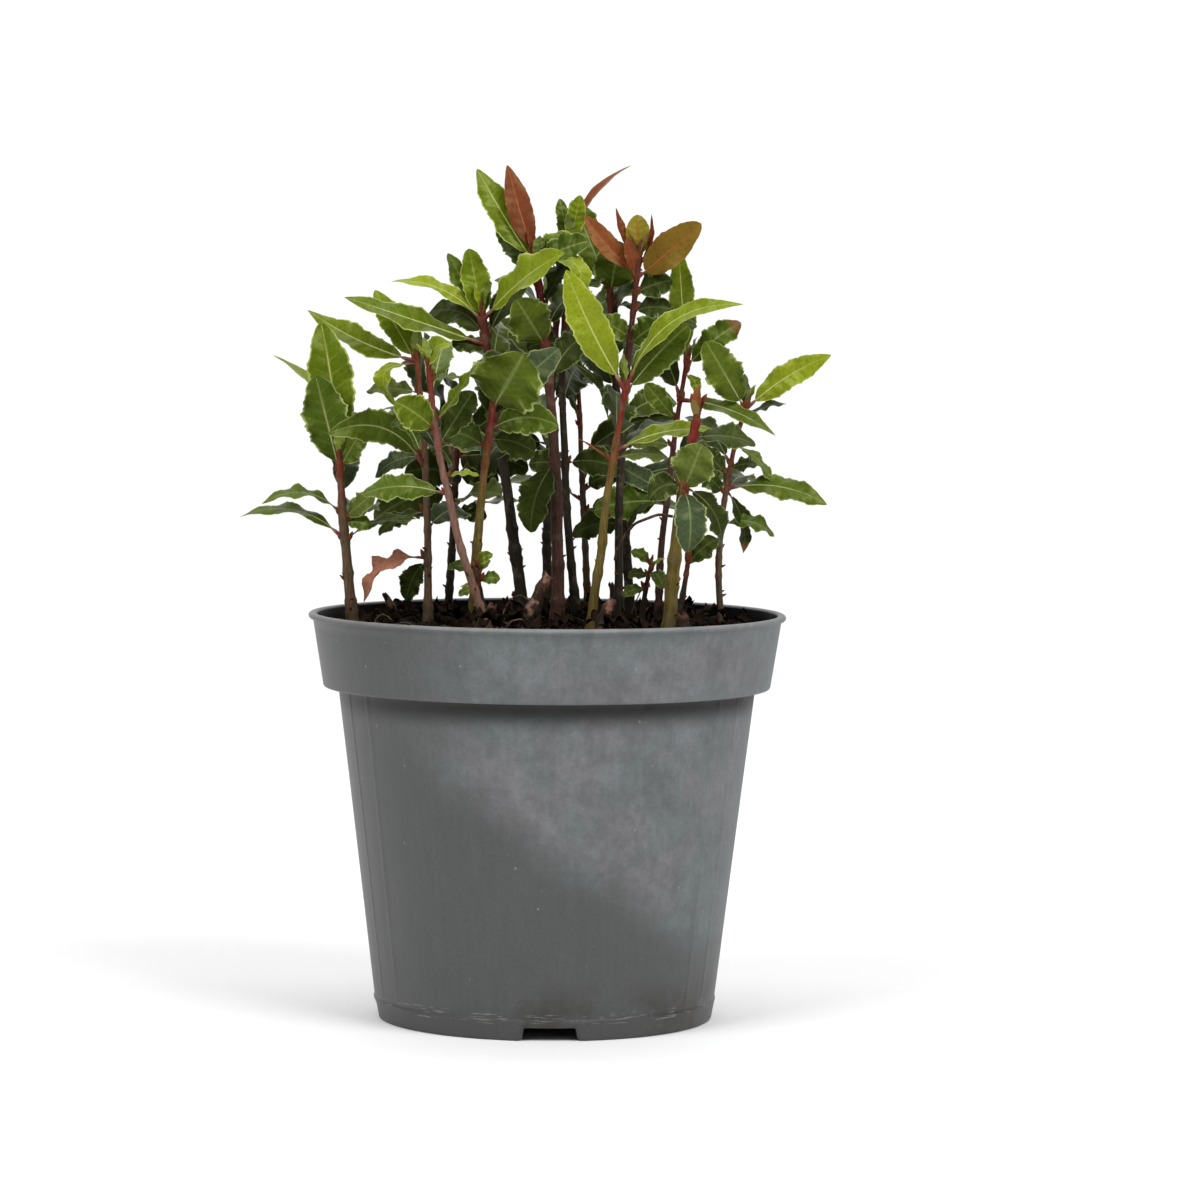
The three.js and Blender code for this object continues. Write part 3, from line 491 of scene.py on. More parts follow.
def pot_material(look):
    """Moulded polypropylene: dull grey, dry dust film above a slanting edge, paler lip top and grimy foot;
    painted shade under the collar, and soil staining with painted shade inside.
    """
    mat = Shader("moulded_polypropylene")
    at = mat.split(mat.place)
    cloud = mat.noise(38.46, 6.0, 0.62)
    grit = mat.noise(1.111, 3.0, 0.7)
    # Distance above the slanting edge of the film, broken by the cloud; the film thins out to the left
    slant = mat.add("VectorMath", {0: mat.place, 1: FILM_SLANT}, operation="DOT_PRODUCT").outputs["Value"]
    over = mat.maths("ADD", slant, mat.maths("MULTIPLY_ADD", cloud, 22 * MM, -71.5 * MM))
    above = mat.ramp(over, -4 * MM, 14 * MM, kind=SMOOTH)
    film = mat.maths("MULTIPLY", above, mat.ramp(at["X"], -66 * MM, -4 * MM, kind=SMOOTH))
    # Water marks break the film into patches of 13 mm and flakes of 4 mm, some greyer and some greener
    mottle = mat.ramp(mat.noise(13.33, 6.0, 0.65), 0.28, 0.72, 0.3)
    flaky = mat.ramp(mat.noise(4.348, 5.0, 0.6), 0.36, 0.6, 0.72, 1.05)
    dust = mat.maths("MULTIPLY", mat.maths("MULTIPLY", film, mottle), flaky)
    coat = mat.mix(mat.ramp(cloud, 0.42, 0.58), look.film, look.cool)
    dusty = mat.mix(dust, look.grey, coat)
    # Drag lines run down the wall, about 2 mm apart, and the moulded grain is a fine light and dark speckle
    streak = mat.ramp(mat.streaks(2.381, 111.1, 3.0), 0.35, 0.7, 0.95, 1.05)
    uneven = mat.maths("MULTIPLY", streak, mat.ramp(grit, 0.3, 0.7, 0.9, 1.1))
    lined = mat.mix(1.0, dusty, uneven, "MULTIPLY")
    # Splashed dirt fades out about 26 mm above the ground, and fills the band below the foot line
    low = mat.ramp(at["Z"], 10 * MM, 26 * MM, 0.7, 0.0, SMOOTH)
    splash = mat.maths("MULTIPLY", low, mat.ramp(cloud, 0.50, 0.60))
    band = mat.ramp(at["Z"], (FOOT_LINE - 0.9) * MM, (FOOT_LINE + 0.5) * MM, 0.3, 0.0)
    splashed = mat.mix(mat.maths("MAXIMUM", splash, band), lined, look.dirt)
    # Painted shade darkens the corner under the collar, a band about 10 mm tall, in the inside's colour
    corner = mat.ramp(at["Z"], (COLLAR_FOOT - 12) * MM, (COLLAR_FOOT - 2) * MM, kind=SMOOTH)
    below = mat.maths("LESS_THAN", at["Z"], (COLLAR_FOOT + 0.2) * MM)
    dirt_and_collar_shade = mat.mix(mat.maths("MULTIPLY", corner, below), splashed, look.stain_and_shade)
    # Pale scratches run along the foot line, the lip's top edge is paler in a mottled band, and specks of lime
    # are 1 mm wide
    scored = mat.ramp(mat.streaks(6.667, 0.5556, 2.0), 0.60, 0.66, 0.0, 0.55)
    level = mat.maths("COMPARE", at["Z"], (FOOT_LINE + 0.1) * MM, 2.2 * MM)
    lip = mat.ramp(at["Z"], (POT_HEIGHT - 1.6) * MM, (POT_HEIGHT - 0.8) * MM, 0.0, 0.55, SMOOTH)
    lime = mat.dots(5.263, 0.06, 0.12, 0.55, 0.72, 0.80)
    light = mat.maths("MAXIMUM", mat.maths("MULTIPLY", lip, mottle), lime)
    rubbed = mat.mix(mat.maths("MAXIMUM", light, mat.maths("MULTIPLY", scored, level)), dirt_and_collar_shade, look.worn)
    # The inside above the soil and the underside are darkened nearly to black: partly soil staining, partly
    # painted shade
    inside = mat.own("inside")
    soil_stained_and_shaded = mat.mix(inside, rubbed, look.stain_and_shade)
    return mat.finish(soil_stained_and_shaded, mat.ramp(dust, 0.0, 1.0, 0.46, 0.68), {
        "Normal": mat.bump(grit, 0.12, 0.2), "IOR": 1.49,
        "Specular IOR Level": mat.ramp(inside, 0.0, 1.0, 0.5, 0.05)})


def earth_material(name, dark, light, grain_size):
    """Loose earth: dull and dark, two browns mixed by a grain of this size in millimetres."""
    mat = Shader(name)
    clump = mat.noise(grain_size, 6.0, 0.7)
    tone = mat.mix(mat.ramp(clump, 0.35, 0.7), dark, light)
    bump = mat.bump(clump, 0.7, 0.1 * grain_size)
    return mat.finish(tone, 0.92, {"Normal": bump, "IOR": 1.4, "Specular IOR Level": 0.08})


def bark_material(name, low, high, skin_tone, skin_share):
    """Thin young bark: dull, streaked along the stem, turning to the tip's colour higher up, with pale pores.
    Patches of dead skin have their own tone and cover as much as their share."""
    mat = Shader(name)
    along = mat.split(mat.add("UVMap", uv_map="Bark").outputs[0])["Y"]
    height = mat.maths("ADD", along, mat.maths("MULTIPLY_ADD", mat.noise(11.11, 3.0), 0.5, -0.25))
    tone = mat.mix(mat.ramp(height, 0.5, 0.95, kind=SMOOTH), low, high)
    # Streaks a millimetre wide and several long
    streak = mat.streaks(1.0, 6.25, 5.0, 0.65)
    drawn = mat.mix(1.0, tone, mat.ramp(streak, 0.3, 0.7, 0.55, 1.45), "MULTIPLY")
    # Patches of dead skin, some 6 mm long, and pale pores half a millimetre across
    skin = mat.mix(mat.ramp(mat.noise(6.25, 4.0), 0.54, 0.62, 0.0, skin_share), drawn, skin_tone)
    pored = mat.mix(mat.dots(2.381, 0.12, 0.24, 0.16, 0.5, 0.6), skin, linear("a08c74"))
    # The lowest 14 mm are darker, down to half their tone at the soil
    low_darkening = mat.ramp(mat.split(mat.place)["Z"], SOIL_TOP * MM, (SOIL_TOP + 14) * MM, 0.5)
    foot = mat.mix(1.0, pored, low_darkening, "MULTIPLY")
    bump = mat.bump(streak, 0.5, 0.4)
    return mat.finish(foot, 0.62, {"Normal": bump, "IOR": 1.45, "Specular IOR Level": 0.2})


def leaf_material(kind, tone_a, tone_b, rib, dull, gloss):
    """Waxy leaf: glossy two-tone blade with painted shade toward its stalk, pale veins, an edge that is pale
    partly by painted rim light, paler dull underside, brown where it is dry.
    """
    mat = Shader("bay_leaf_" + kind)
    spot = mat.split(mat.add("UVMap", uv_map="Leaf").outputs[0])
    sway = mat.maths("MULTIPLY_ADD", mat.noise(7.143, 4.0, 0.6), 0.9, -0.45)
    blade = mat.mix(mat.maths("ADD", mat.own("shade"), sway, clamp=True), tone_a, tone_b)
    # A net of fine veins, 2 mm apart, leaves darker islands between, and painted shade darkens the blade
    # toward its stalk
    island = mat.ramp(mat.cells(2.0833, feature="DISTANCE_TO_EDGE")["Distance"], 0.02, 0.3, 1.12, 0.9)
    painted_stalk_shade = mat.ramp(spot["Y"], 0.0, 0.55, 0.72, 1.0, SMOOTH)
    netted_and_shaded = mat.mix(1.0, blade, mat.maths("MULTIPLY", island, painted_stalk_shade), "MULTIPLY")
    # How far from the midrib, 0 to 1 at the edge
    away = mat.maths("ABSOLUTE", mat.maths("MULTIPLY_ADD", spot["X"], 2.0, -1.0))
    # Side veins lie where the vein count is whole; the midrib is pale, and the edge is pale, partly the leaf's
    # own pale margin and partly painted rim light
    line = mat.ramp(mat.maths("PINGPONG", mat.own("vein"), 0.5), 0.02, 0.12, 0.11, 0.0, SMOOTH)
    veins = mat.maths("MULTIPLY", line, mat.ramp(away, 0.1, 0.95, 1.0, 0.0))
    middle = mat.ramp(away, 0.02, 0.10, 0.32, 0.0, SMOOTH)
    margin = mat.ramp(away, 0.88, 0.96, 0.0, 0.15 if kind in RIB_TONES["red"] else 0.75)
    pale = mat.maths("MAXIMUM", mat.maths("MAXIMUM", middle, margin), veins)
    ribbed = mat.mix(pale, netted_and_shaded, rib)
    # The underside is paler and dull
    under = mat.own("under")
    sided = mat.mix(mat.maths("MULTIPLY", under, 0.4), ribbed, linear("8b9a5c"))
    # Dry brown tissue spreads down from the tip, and small dark spots lie on the blade
    brown = mat.ramp(mat.maths("ADD", mat.own("dry"), sway), 0.45, 0.62, 0.0, 0.85)
    tipped = mat.mix(brown, sided, linear("6b4328"))
    flecked = mat.mix(mat.dots(3.846, 0.1, 0.2, 0.8, 0.82, 0.86), tipped, linear("2a1f14"))
    bump = mat.bump(mat.noise(1.111, 2.0), 0.12, 0.3)
    return mat.finish(flecked, mat.ramp(under, 0.0, 1.0, dull, 0.62), {
        "Normal": bump, "IOR": 1.45, "Specular IOR Level": gloss, "Specular Tint": linear("dfe89a")})


def rib_material(name, stalk, rib):
    """Leaf stalk and midrib: red where it leaves the stem, turning to the rib's colour on the blade."""
    mat = Shader(name)
    along = mat.split(mat.add("UVMap", uv_map="Bark").outputs[0])["Y"]
    height = mat.maths("ADD", along, mat.maths("MULTIPLY_ADD", mat.noise(2.5, 3.0), 0.2, -0.1))
    return mat.finish(mat.mix(mat.ramp(height, 0.12, 0.3), stalk, rib), 0.42, {"IOR": 1.45})


def floor_material(look):
    """Matt painted board: even and pale."""
    mat = Shader("matt_board")
    bump = mat.bump(mat.noise(3.333, 2.0), 0.02, 0.2)
    return mat.finish(look.floor, 0.9, {"Normal": bump, "Specular IOR Level": 0.1})


def chance(seed, step):
    """A repeatable number between 0 and 1."""
    wave = math.sin(seed * 12.9898 + step * 78.233) * 43758.5453
    return wave - math.floor(wave)


class Shoot:
    """One stem with its leaves, in millimetres about the pot's axis."""

    def __init__(self, name, foot, top, girth, bow, bare=1, more=0, arc=0, size=1, bark="wood", seen=()):
        self.name, self.girth, self.bare = name, girth, bare
        self.more, self.arc, self.size, self.bark, self.seen = more, arc, size, bark, seen
        self.foot = np.array([*foot, STEM_FOOT])
        self.top = np.array(top, float)
        self.bend = (self.foot + self.top) / 2 + np.array([bow, 0, 0])
        self.grown = []

    def point(self, t):
        t = np.asarray(t, float)[..., None]
        return (1 - t) ** 2 * self.foot + 2 * t * (1 - t) * self.bend + t ** 2 * self.top

    def radius(self, t):
        flare = np.maximum(0, 1 - np.asarray(t) / FLARE_SHARE) ** 2
        return self.girth / 2 * (1 - (1 - TIP_SHARE) * np.asarray(t)) * (1 + FLARE * flare)


def unit(v):
    return v / np.linalg.norm(v, axis=-1, keepdims=True)


class Leaf:
    """One leaf's place and size: where it leaves the stem, which way it runs and how it faces."""

    def __init__(self, shoot, at, turn, rise, length, width, face, arch, kind, dry=0.0, look=VIEWER_TURN):
        turn, rise, face, look = (math.radians(a) for a in (turn, rise, face, look))
        self.at, self.length, self.width, self.arch, self.kind, self.dry = at, length, width, arch, kind, dry
        self.base = shoot.point(at)
        level = math.cos(rise)
        self.along = np.array([level * math.cos(turn), level * math.sin(turn), math.sin(rise)])
        self.lift = unit(np.array([0, 0, 1]) - self.along * self.along[2])
        view = np.array([math.cos(look), math.sin(look), 0])
        view = unit(view - self.along * (self.along @ view))
        self.normal = unit(self.lift * math.cos(face) + view * math.sin(face))
        self.across = np.cross(self.normal, self.along)

    def middle(self, t):
        t = np.asarray(t, float)[..., None]
        rise = self.lift * self.length * 4 * self.arch * t * (1 - t)
        return self.base + self.along * self.length * t + rise

    def half_width(self, t):
        s = np.clip((np.asarray(t, float) - STALK) / (1 - STALK), 0, 1)
        full = self.width / 2 * np.sin(np.pi * s ** BLADE_LEAN) ** BLUNTNESS
        return np.where(s > 0, np.maximum(STALK_HALF_WIDTH * (1 - s), full), STALK_HALF_WIDTH)

    def spots(self):
        t = np.repeat(0.25 + 0.75 * np.arange(SPOT_ROWS) / (SPOT_ROWS - 1), 3)
        side = np.tile([-0.65, 0, 0.65], SPOT_ROWS)
        return self.middle(t) + self.across * (side * self.half_width(t))[:, None]


class Room:
    """What already holds space: points with a clear radius, and the shoot whose leaves may touch them."""

    def __init__(self, shoots):
        self.points, self.clear, self.owner = np.zeros((0, 3)), np.zeros(0), np.zeros(0, int)
        for index, shoot in enumerate(shoots):
            steps = math.ceil((shoot.top[2] - STEM_FOOT) / 4)
            t = np.arange(steps + 1) / steps
            owner = np.where(t < shoot.bare, -1, index)
            self.take(shoot.point(t), shoot.radius(t) + LIMB_CLEAR, owner)

    def take(self, points, clear, owner):
        count = len(points)
        self.points = np.concatenate([self.points, points])
        self.clear = np.concatenate([self.clear, np.broadcast_to(clear, count)])
        self.owner = np.concatenate([self.owner, np.broadcast_to(owner, count)])

    def is_free(self, index, spots):
        held = self.owner != index
        gap = np.linalg.norm(spots[:, None] - self.points[held][None], axis=2)
        return bool((gap > self.clear[held]).all())


def under_dome(spots):
    roof = DOME_TOP - DOME_FALL * (spots[:, 0] ** 2 + spots[:, 1] ** 2)
    z = spots[:, 2]
    return bool(((z < roof) & (z > CROWN_FOOT) & (np.abs(spots[:, 1]) < CROWN_DEPTH)).all())


def clear_of_gaps(spots):
    near = VIEW_DISTANCE / (VIEW_DISTANCE + spots[:, 1])
    x = spots[:, 0] * near
    z = VIEW_LEVEL + (spots[:, 2] - VIEW_LEVEL + VIEW_FALL * spots[:, 1]) * near
    return all(((x < left) | (x > right) | (z < foot) | (z > top)).all() for left, right, foot, top in GAPS)


def grow():
    """All shoots with their leaves, as in the part's source: first the leaves seen, then the rule's own."""
    shoots = [Shoot(*row) for row in SHOOTS]
    room = Room(shoots)

    def keep(index, leaf):
        shoots[index].grown.append(leaf)
        room.take(leaf.spots(), LEAF_CLEAR, index)

    for index, shoot in enumerate(shoots):
        for at, turn, *rest in shoot.seen:
            for trial in range(SEEN_TRIALS):
                sway = (1 if trial % 2 else -1) * math.ceil(trial / 2) * SEEN_SWAY
                leaf = Leaf(shoot, at, turn + sway, *rest)
                if room.is_free(index, leaf.spots()):
                    keep(index, leaf)
                    break
    for index, shoot in enumerate(shoots):
        seed = index + 1
        for step in range(shoot.more):
            share = (step + 0.6) / (shoot.more + 0.2)
            full = shoot.size * (34 + 14 * chance(seed, step))
            pick = chance(seed, step + 110)
            # Most of the rule's leaves take the dark kind, whose tones are partly painted shade
            kind = "dark" if pick < 0.55 else "mature" if pick < 0.85 else "blue"
            if shoot.size < 0.5:
                kind = "bright" if pick < 0.6 else "grey"
            for trial in range(RULE_TRIALS):
                turn = 90 + shoot.arc * ((GOLDEN_SHARE * (step + 3 * trial) + chance(seed, 50)) % 1 - 0.5)
                leaf = Leaf(
                    shoot,
                    at=shoot.bare + (1 - shoot.bare) * (0.1 + 0.88 * share),
                    turn=turn,
                    rise=4 + 48 * share + 14 * (chance(seed, step + 20) - 0.5) + 3 * trial,
                    length=full * (1 - 0.04 * trial),
                    width=full * (0.27 + 0.1 * chance(seed, step + 40)),
                    face=70 * chance(seed, step + 60),
                    arch=0.06 + 0.1 * chance(seed, step + 80),
                    kind=kind,
                    look=turn + (-90 if math.cos(math.radians(turn)) > 0 else 90),
                )
                spots = leaf.spots()
                if under_dome(spots) and clear_of_gaps(spots) and room.is_free(index, spots):
                    keep(index, leaf)
                    break
    return shoots


class Batch:
    """Many small shapes gathered into one mesh, in millimetres about the pot's axis."""

    def __init__(self):
        self.points, self.faces, self.maps, self.values, self.sharp = [], [], {}, {}, []
        self.count = 0

    def add(self, points, faces, maps=None, values=None, sharp=None):
        """points (n, 3); faces as index rows; maps: name to one pair per face corner;
        values: name to one number per point; sharp: points whose shared edges stay sharp."""
        self.points.append(points)
        self.faces.extend([tuple(i + self.count for i in face) for face in faces])
        for name, pairs in (maps or {}).items():
            self.maps.setdefault(name, []).append(pairs)
        for name, numbers in (values or {}).items():
            self.values.setdefault(name, []).append(np.broadcast_to(numbers, len(points)))
        self.sharp.append(np.zeros(len(points), bool) if sharp is None else sharp)
        self.count += len(points)

    def mesh(self, name):
        points = (np.concatenate(self.points) + np.array([AXIS_X, 0, 0])) * MM
        mesh = bpy.data.meshes.new(name)
        mesh.from_pydata(points.tolist(), [], self.faces)
        for key, parts in self.maps.items():
            layer = mesh.uv_layers.new(name=key)
            layer.data.foreach_set("uv", np.concatenate(parts).astype(np.float32).ravel())
        for key, parts in self.values.items():
            value = mesh.attributes.new(key, "FLOAT", "POINT")
            value.data.foreach_set("value", np.concatenate(parts).astype(np.float32))
        sharp = np.concatenate(self.sharp)
        if sharp.any():
            ends = np.zeros(2 * len(mesh.edges), np.int32)
            mesh.edges.foreach_get("vertices", ends)
            crease = mesh.attributes.new("sharp_edge", "BOOLEAN", "EDGE")
            crease.data.foreach_set("value", sharp[ends.reshape(-1, 2)].all(axis=1))
        mesh.shade_smooth()
        mesh.validate()
        return mesh

    def piece(self, name, material, slot, nodes=()):
        piece(name, self.mesh(name), material, nodes)


def piece(name, mesh, material, nodes=()):
    """A finished mesh as a piece of the object that stands for these nodes."""
    mesh.materials.clear()
    mesh.materials.append(material)
    made = bpy.data.objects.new(name, mesh)
    bpy.context.scene.collection.objects.link(made)
    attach(made, "root")
    if nodes:
        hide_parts(*nodes)


def cell(index, count, across):
    """Corner and size of one of count cells that share a square map, in rows of across."""
    size = np.array([1 / across, 1 / math.ceil(count / across)])
    corner = np.array([index % across, index // across]) * size
    return corner + 0.05 * size, 0.9 * size


def tube(points, radii, start):
    """A closed tube along points. radii: one row of numbers per point, one number per side.
    Returns points, faces and the corner map, which runs once round and once along."""
    n, sides = radii.shape
    tangent = unit(np.gradient(points, axis=0))
    u = unit(start - tangent * (tangent @ start)[:, None])
    w = np.cross(tangent, u)
    angle = np.arange(sides) / sides * 2 * np.pi
    ring = u[:, None] * np.cos(angle)[None, :, None] + w[:, None] * np.sin(angle)[None, :, None]
    body = (points[:, None] + ring * radii[:, :, None]).reshape(-1, 3)
    i, k = np.meshgrid(np.arange(n - 1), np.arange(sides), indexing="ij")
    i, k = i.ravel(), k.ravel()
    nxt = (k + 1) % sides
    quads = np.stack([i * sides + k, i * sides + nxt, (i + 1) * sides + nxt, (i + 1) * sides + k], axis=1)
    corners = np.stack([np.stack([k, i], 1), np.stack([k + 1, i], 1), np.stack([k + 1, i + 1], 1),
                        np.stack([k, i + 1], 1)], axis=1).reshape(-1, 2)
    corners = corners / np.array([sides, n - 1])
    ends = [tuple(range(sides))[::-1], tuple(range((n - 1) * sides, n * sides))]
    round_map = np.stack([np.arange(sides) / sides, np.zeros(sides)], axis=1)
    caps = np.concatenate([round_map[::-1], round_map + np.array([0, 1])])
    return body, [tuple(q) for q in quads.tolist()] + ends, np.concatenate([corners, caps])


def grain(x, y, z, seed):
    """Smooth noise from -1 to 1."""
    return noise.noise(Vector((x + 17.3 * seed, y - 9.1 * seed, z)))


def stem_tube(shoot, seed, relief, rng):
    """A whole stem, foot to tip, with bark relief and a swelling at each leaf."""
    span = np.linalg.norm(shoot.top - shoot.foot)
    n = max(8, int(span / BARK_STEP))
    t = np.linspace(0, 1, n)
    points = shoot.point(t)
    bend = np.array([[grain(0.04 * p[2], 3, 0, seed), grain(0.04 * p[2], 8, 5, seed), 0] for p in points])
    points = points + STEM_WAVER * bend * np.sin(np.pi * t)[:, None]
    points[0, 2] -= STEM_SUNK
    radius = shoot.radius(t)
    scars = [leaf.at for leaf in shoot.grown] + [rng.uniform(0.06, shoot.bare) for _ in range(SCARS)]
    swell = np.max([np.exp(-((t - at) * span / SCAR_HALF) ** 2) for at in scars], axis=0)
    radius = radius * (1 + SCAR_SWELL * swell)
    angle = np.arange(BARK_SIDES) / BARK_SIDES * 2 * np.pi

    def relief_of(across, upward, seed):
        ring = [(across * math.cos(a), across * math.sin(a)) for a in angle]
        return np.array([[grain(x, y, upward * p[2], seed) for x, y in ring] for p in points])

    radii = radius[:, None] * (1 + relief * relief_of(1.6, 0.5, seed))
    if shoot.bark != "wood":
        radii[-1] *= 0.5
        return tube(points, radii, SIDEWAYS)
    # Old wood is lumpy and snapped off
    lumps = relief_of(1.0, 0.24, seed + LUMP_SEED)
    body, faces, run = tube(points, radii * (1.12 + STUB_LUMP * lumps), SIDEWAYS)
    body[-BARK_SIDES:, 2] += [rng.uniform(-1.6, 0.8) for _ in range(BARK_SIDES)]
    return body, faces, run


class BladeGrid:
    """A blade's net: two sheets with one rim, each corner's place on the blade, and the points on the rim."""

    def __init__(self, stations, slices):
        self.s = np.linspace(0, 1, stations + 1)
        self.side = np.linspace(-1, 1, slices + 1)
        upper = np.arange((stations + 1) * (slices + 1)).reshape(stations + 1, slices + 1)
        lower = upper.copy()
        inner = np.arange((stations - 1) * (slices - 1)).reshape(stations - 1, slices - 1)
        lower[1:-1, 1:-1] = upper.size + inner
        place = np.stack(np.meshgrid((self.side + 1) / 2, self.s), axis=-1)
        faces = np.concatenate([self.quads(upper, False), self.quads(lower, True)])
        self.faces = [tuple(f) for f in faces.tolist()]
        self.flat = np.concatenate([self.quads(place, False), self.quads(place, True)]).reshape(-1, 2)
        self.rim = np.zeros(upper.size + inner.size, bool)
        self.rim[np.concatenate([upper[0], upper[-1], upper[:, 0], upper[:, -1]])] = True

    def quads(self, grid, flip):
        rows = [grid[:-1, :-1], grid[1:, :-1], grid[1:, 1:], grid[:-1, 1:]]
        made = np.stack(rows, axis=2).reshape(-1, 4, *grid.shape[2:])
        return made[:, ::-1] if flip else made


LARGE_GRID = BladeGrid(36, 10)
SMALL_GRID = BladeGrid(14, 4)


def grid_of(leaf):
    return SMALL_GRID if leaf.length < SMALL_LEAF else LARGE_GRID


def blade_edges(leaf, s, crinkle, rng):
    """Half width of the blade at each station, to its left and to its right edge."""
    # Slim leaves are widest near the middle and end in a longer point
    slim = min(1, max(0, (leaf.length / leaf.width - 2.6) / 1.8))
    lean = 0.85 + 0.3 * (1 - slim) * rng.random()
    half = leaf.width / 2 * np.sin(np.pi * s ** lean) ** (0.54 + 0.14 * slim)
    half = half * (1 - 0.4 * slim * np.clip((s - 0.6) / 0.4, 0, 1) ** 2)
    half = np.maximum(half, STALK_HALF_WIDTH * (1 - s) ** 8)
    # Each edge has waves and teeth of its own
    edges = []
    for _ in range(2):
        tooth = sum(size * np.sin(2 * np.pi * rng.uniform(low, high) * s + rng.uniform(0, ANY_PHASE))
                    for size, low, high in ((0.5, 2, 4), (0.7, 5, 8), (0.6, 11, 16)))
        edges.append(np.maximum(half * (1 + crinkle * tooth * np.sin(np.pi * s) ** 0.5), 0.08))
    return edges


def blade_height(kind, s, side, half, vein, rng):
    """How far the blade rises: folded at the midrib, curled, rippled at its edges, quilted between veins."""
    wave, _, fold, quilt, _, _ = LEAF_KINDS[kind]
    height = (fold + rng.uniform(-0.06, 0.1)) * np.abs(side[None] * half)
    curl = rng.uniform(-0.12, 0.06)
    height = height + curl * half * side[None] ** 2
    for sign in (-1, 1):
        phase, count = rng.uniform(0, ANY_PHASE), rng.uniform(1.6, 3.2)
        ripple = np.sin(2 * np.pi * count * s + phase)[:, None] * half * side[None] ** 2
        height = height + np.where(sign * side[None] > 0, wave * ripple, 0)
    body = (4 * np.abs(side) * (1 - np.abs(side))) ** 0.7
    return height - quilt * np.cos(2 * np.pi * vein) * body[None] * np.sin(np.pi * s)[:, None]


def blade_spine(leaf, s, rng):
    """The midrib's arching line, which hangs at its tip, and the ways across and out of the blade along it."""
    t = STALK + (1 - STALK) * s
    tangent = unit(leaf.along + leaf.lift * (4 * leaf.arch * (1 - 2 * t))[:, None])
    normal = unit(np.cross(tangent, leaf.across))
    twist = rng.uniform(-0.3, 0.3) * s ** 1.5
    across = leaf.across * np.cos(twist)[:, None] + normal * np.sin(twist)[:, None]
    normal = np.cross(tangent, across)
    hang = rng.uniform(0, 0.05) * leaf.length * s ** 4
    return leaf.middle(t) - normal * hang[:, None], across, normal


def blade_points(leaf, rng):
    """One blade: the points of its top sheet and the inner points of the lower one, vein count and dryness at
    each point, and the line and the way across of its spine."""
    s, side = grid_of(leaf).s, grid_of(leaf).side
    left, right = blade_edges(leaf, s, LEAF_KINDS[leaf.kind][1], rng)
    half = np.where(side[None] < 0, left[:, None], right[:, None])
    x = side[None] * half
    # Side veins leave the midrib at a slant; their count is the same along each vein
    reach = (1 - STALK) * leaf.length
    spacing = max(2.6, 0.105 * leaf.length)
    vein = (reach * s[:, None] - 0.62 * np.abs(x)) / spacing + 40.5
    height = blade_height(leaf.kind, s, side, half, vein, rng)
    spine, across, normal = blade_spine(leaf, s, rng)
    sheet = spine[:, None] + across[:, None] * x[:, :, None] + normal[:, None] * height[:, :, None]
    depth = BLADE_HALF_DEPTH * (1 - side ** 2)
    depth = depth[None, :] * np.minimum(1, 8 * np.minimum(s, 1 - s))[:, None]
    shift = normal[:, None] * depth[:, :, None]
    upper = (sheet + shift).reshape(-1, 3)
    lower = (sheet - shift)[1:-1, 1:-1].reshape(-1, 3)
    if leaf.dry:
        dry = np.clip((s - (1 - max(leaf.dry, 0.03))) / 0.2 + 0.4, 0, 1)
    else:
        dry = np.clip((s - 0.97) / 0.06, 0, 0.5)
    dry = np.repeat(dry[:, None], len(side), axis=1)

    def both(grid):
        return np.concatenate([grid.ravel(), grid[1:-1, 1:-1].ravel()])

    return np.concatenate([upper, lower]), both(vein), both(dry), (spine, across)


def rib_tube(leaf, spine, across):
    """Stalk and midrib of one leaf: from inside the stem to near the tip, thinning all the way."""
    stalk_t = np.linspace(-0.02, STALK, 6)[:-1]
    share = np.linspace(0, 0.97, RIB_STATIONS if leaf.length >= SMALL_LEAF else SMALL_RIB_STATIONS)
    s = grid_of(leaf).s
    blade = np.stack([np.interp(share, s, spine[:, i]) for i in range(3)], axis=1)
    points = np.concatenate([leaf.middle(stalk_t), blade])
    size = min(1.15, max(0.45, leaf.length / 42))
    radius = size * np.concatenate([np.linspace(1.0, 0.72, len(stalk_t)), 0.32 * (1 - share) ** 0.8 + 0.07])
    radii = np.repeat(radius[:, None], RIB_SIDES, axis=1)
    return tube(points, radii, across[0])


def bmesh_shape(make):
    """Points and faces of a bmesh shape."""
    bm = bmesh.new()
    make(bm)
    bm.verts.ensure_lookup_table()
    points = np.array([v.co for v in bm.verts])
    faces = [tuple(v.index for v in f.verts) for f in bm.faces]
    bm.free()
    return points, faces


def turned(points, direction, spin):
    """Points of an upright shape, turned to stand along direction."""
    q = Vector((0, 0, 1)).rotation_difference(Vector(direction))
    matrix = np.array(q.to_matrix() @ Matrix.Rotation(spin, 3, "Z"))
    return points @ matrix.T


def spun(profile, steps):
    """A closed bmesh turned from a profile whose ends lie on the axis."""
    bm = bmesh.new()
    ring = [bm.verts.new((r * MM, 0, z * MM)) for r, z in profile]
    edges = [bm.edges.new(pair) for pair in zip(ring, ring[1:])]
    bmesh.ops.spin(bm, geom=ring + edges, cent=(0, 0, 0), axis=(0, 0, 1), angle=2 * math.pi, steps=steps,
                   use_merge=True)
    bmesh.ops.remove_doubles(bm, verts=bm.verts, dist=1e-6)
    bmesh.ops.recalc_face_normals(bm, faces=bm.faces)
    return bm


def finished(bm, name):
    """The bmesh as a smooth mesh over the pot's axis."""
    bmesh.ops.translate(bm, verts=bm.verts, vec=(AXIS_X * MM, 0, 0))
    mesh = bpy.data.meshes.new(name)
    bm.to_mesh(mesh)
    bm.free()
    mesh.shade_smooth()
    return mesh


def wall_radius(z):
    """Outer radius of the pot's body at a height, in millimetres."""
    return FOOT_RADIUS + (BODY_RADIUS - FOOT_RADIUS) * (z - BODY_FOOT) / (COLLAR_FOOT - BODY_FOOT)


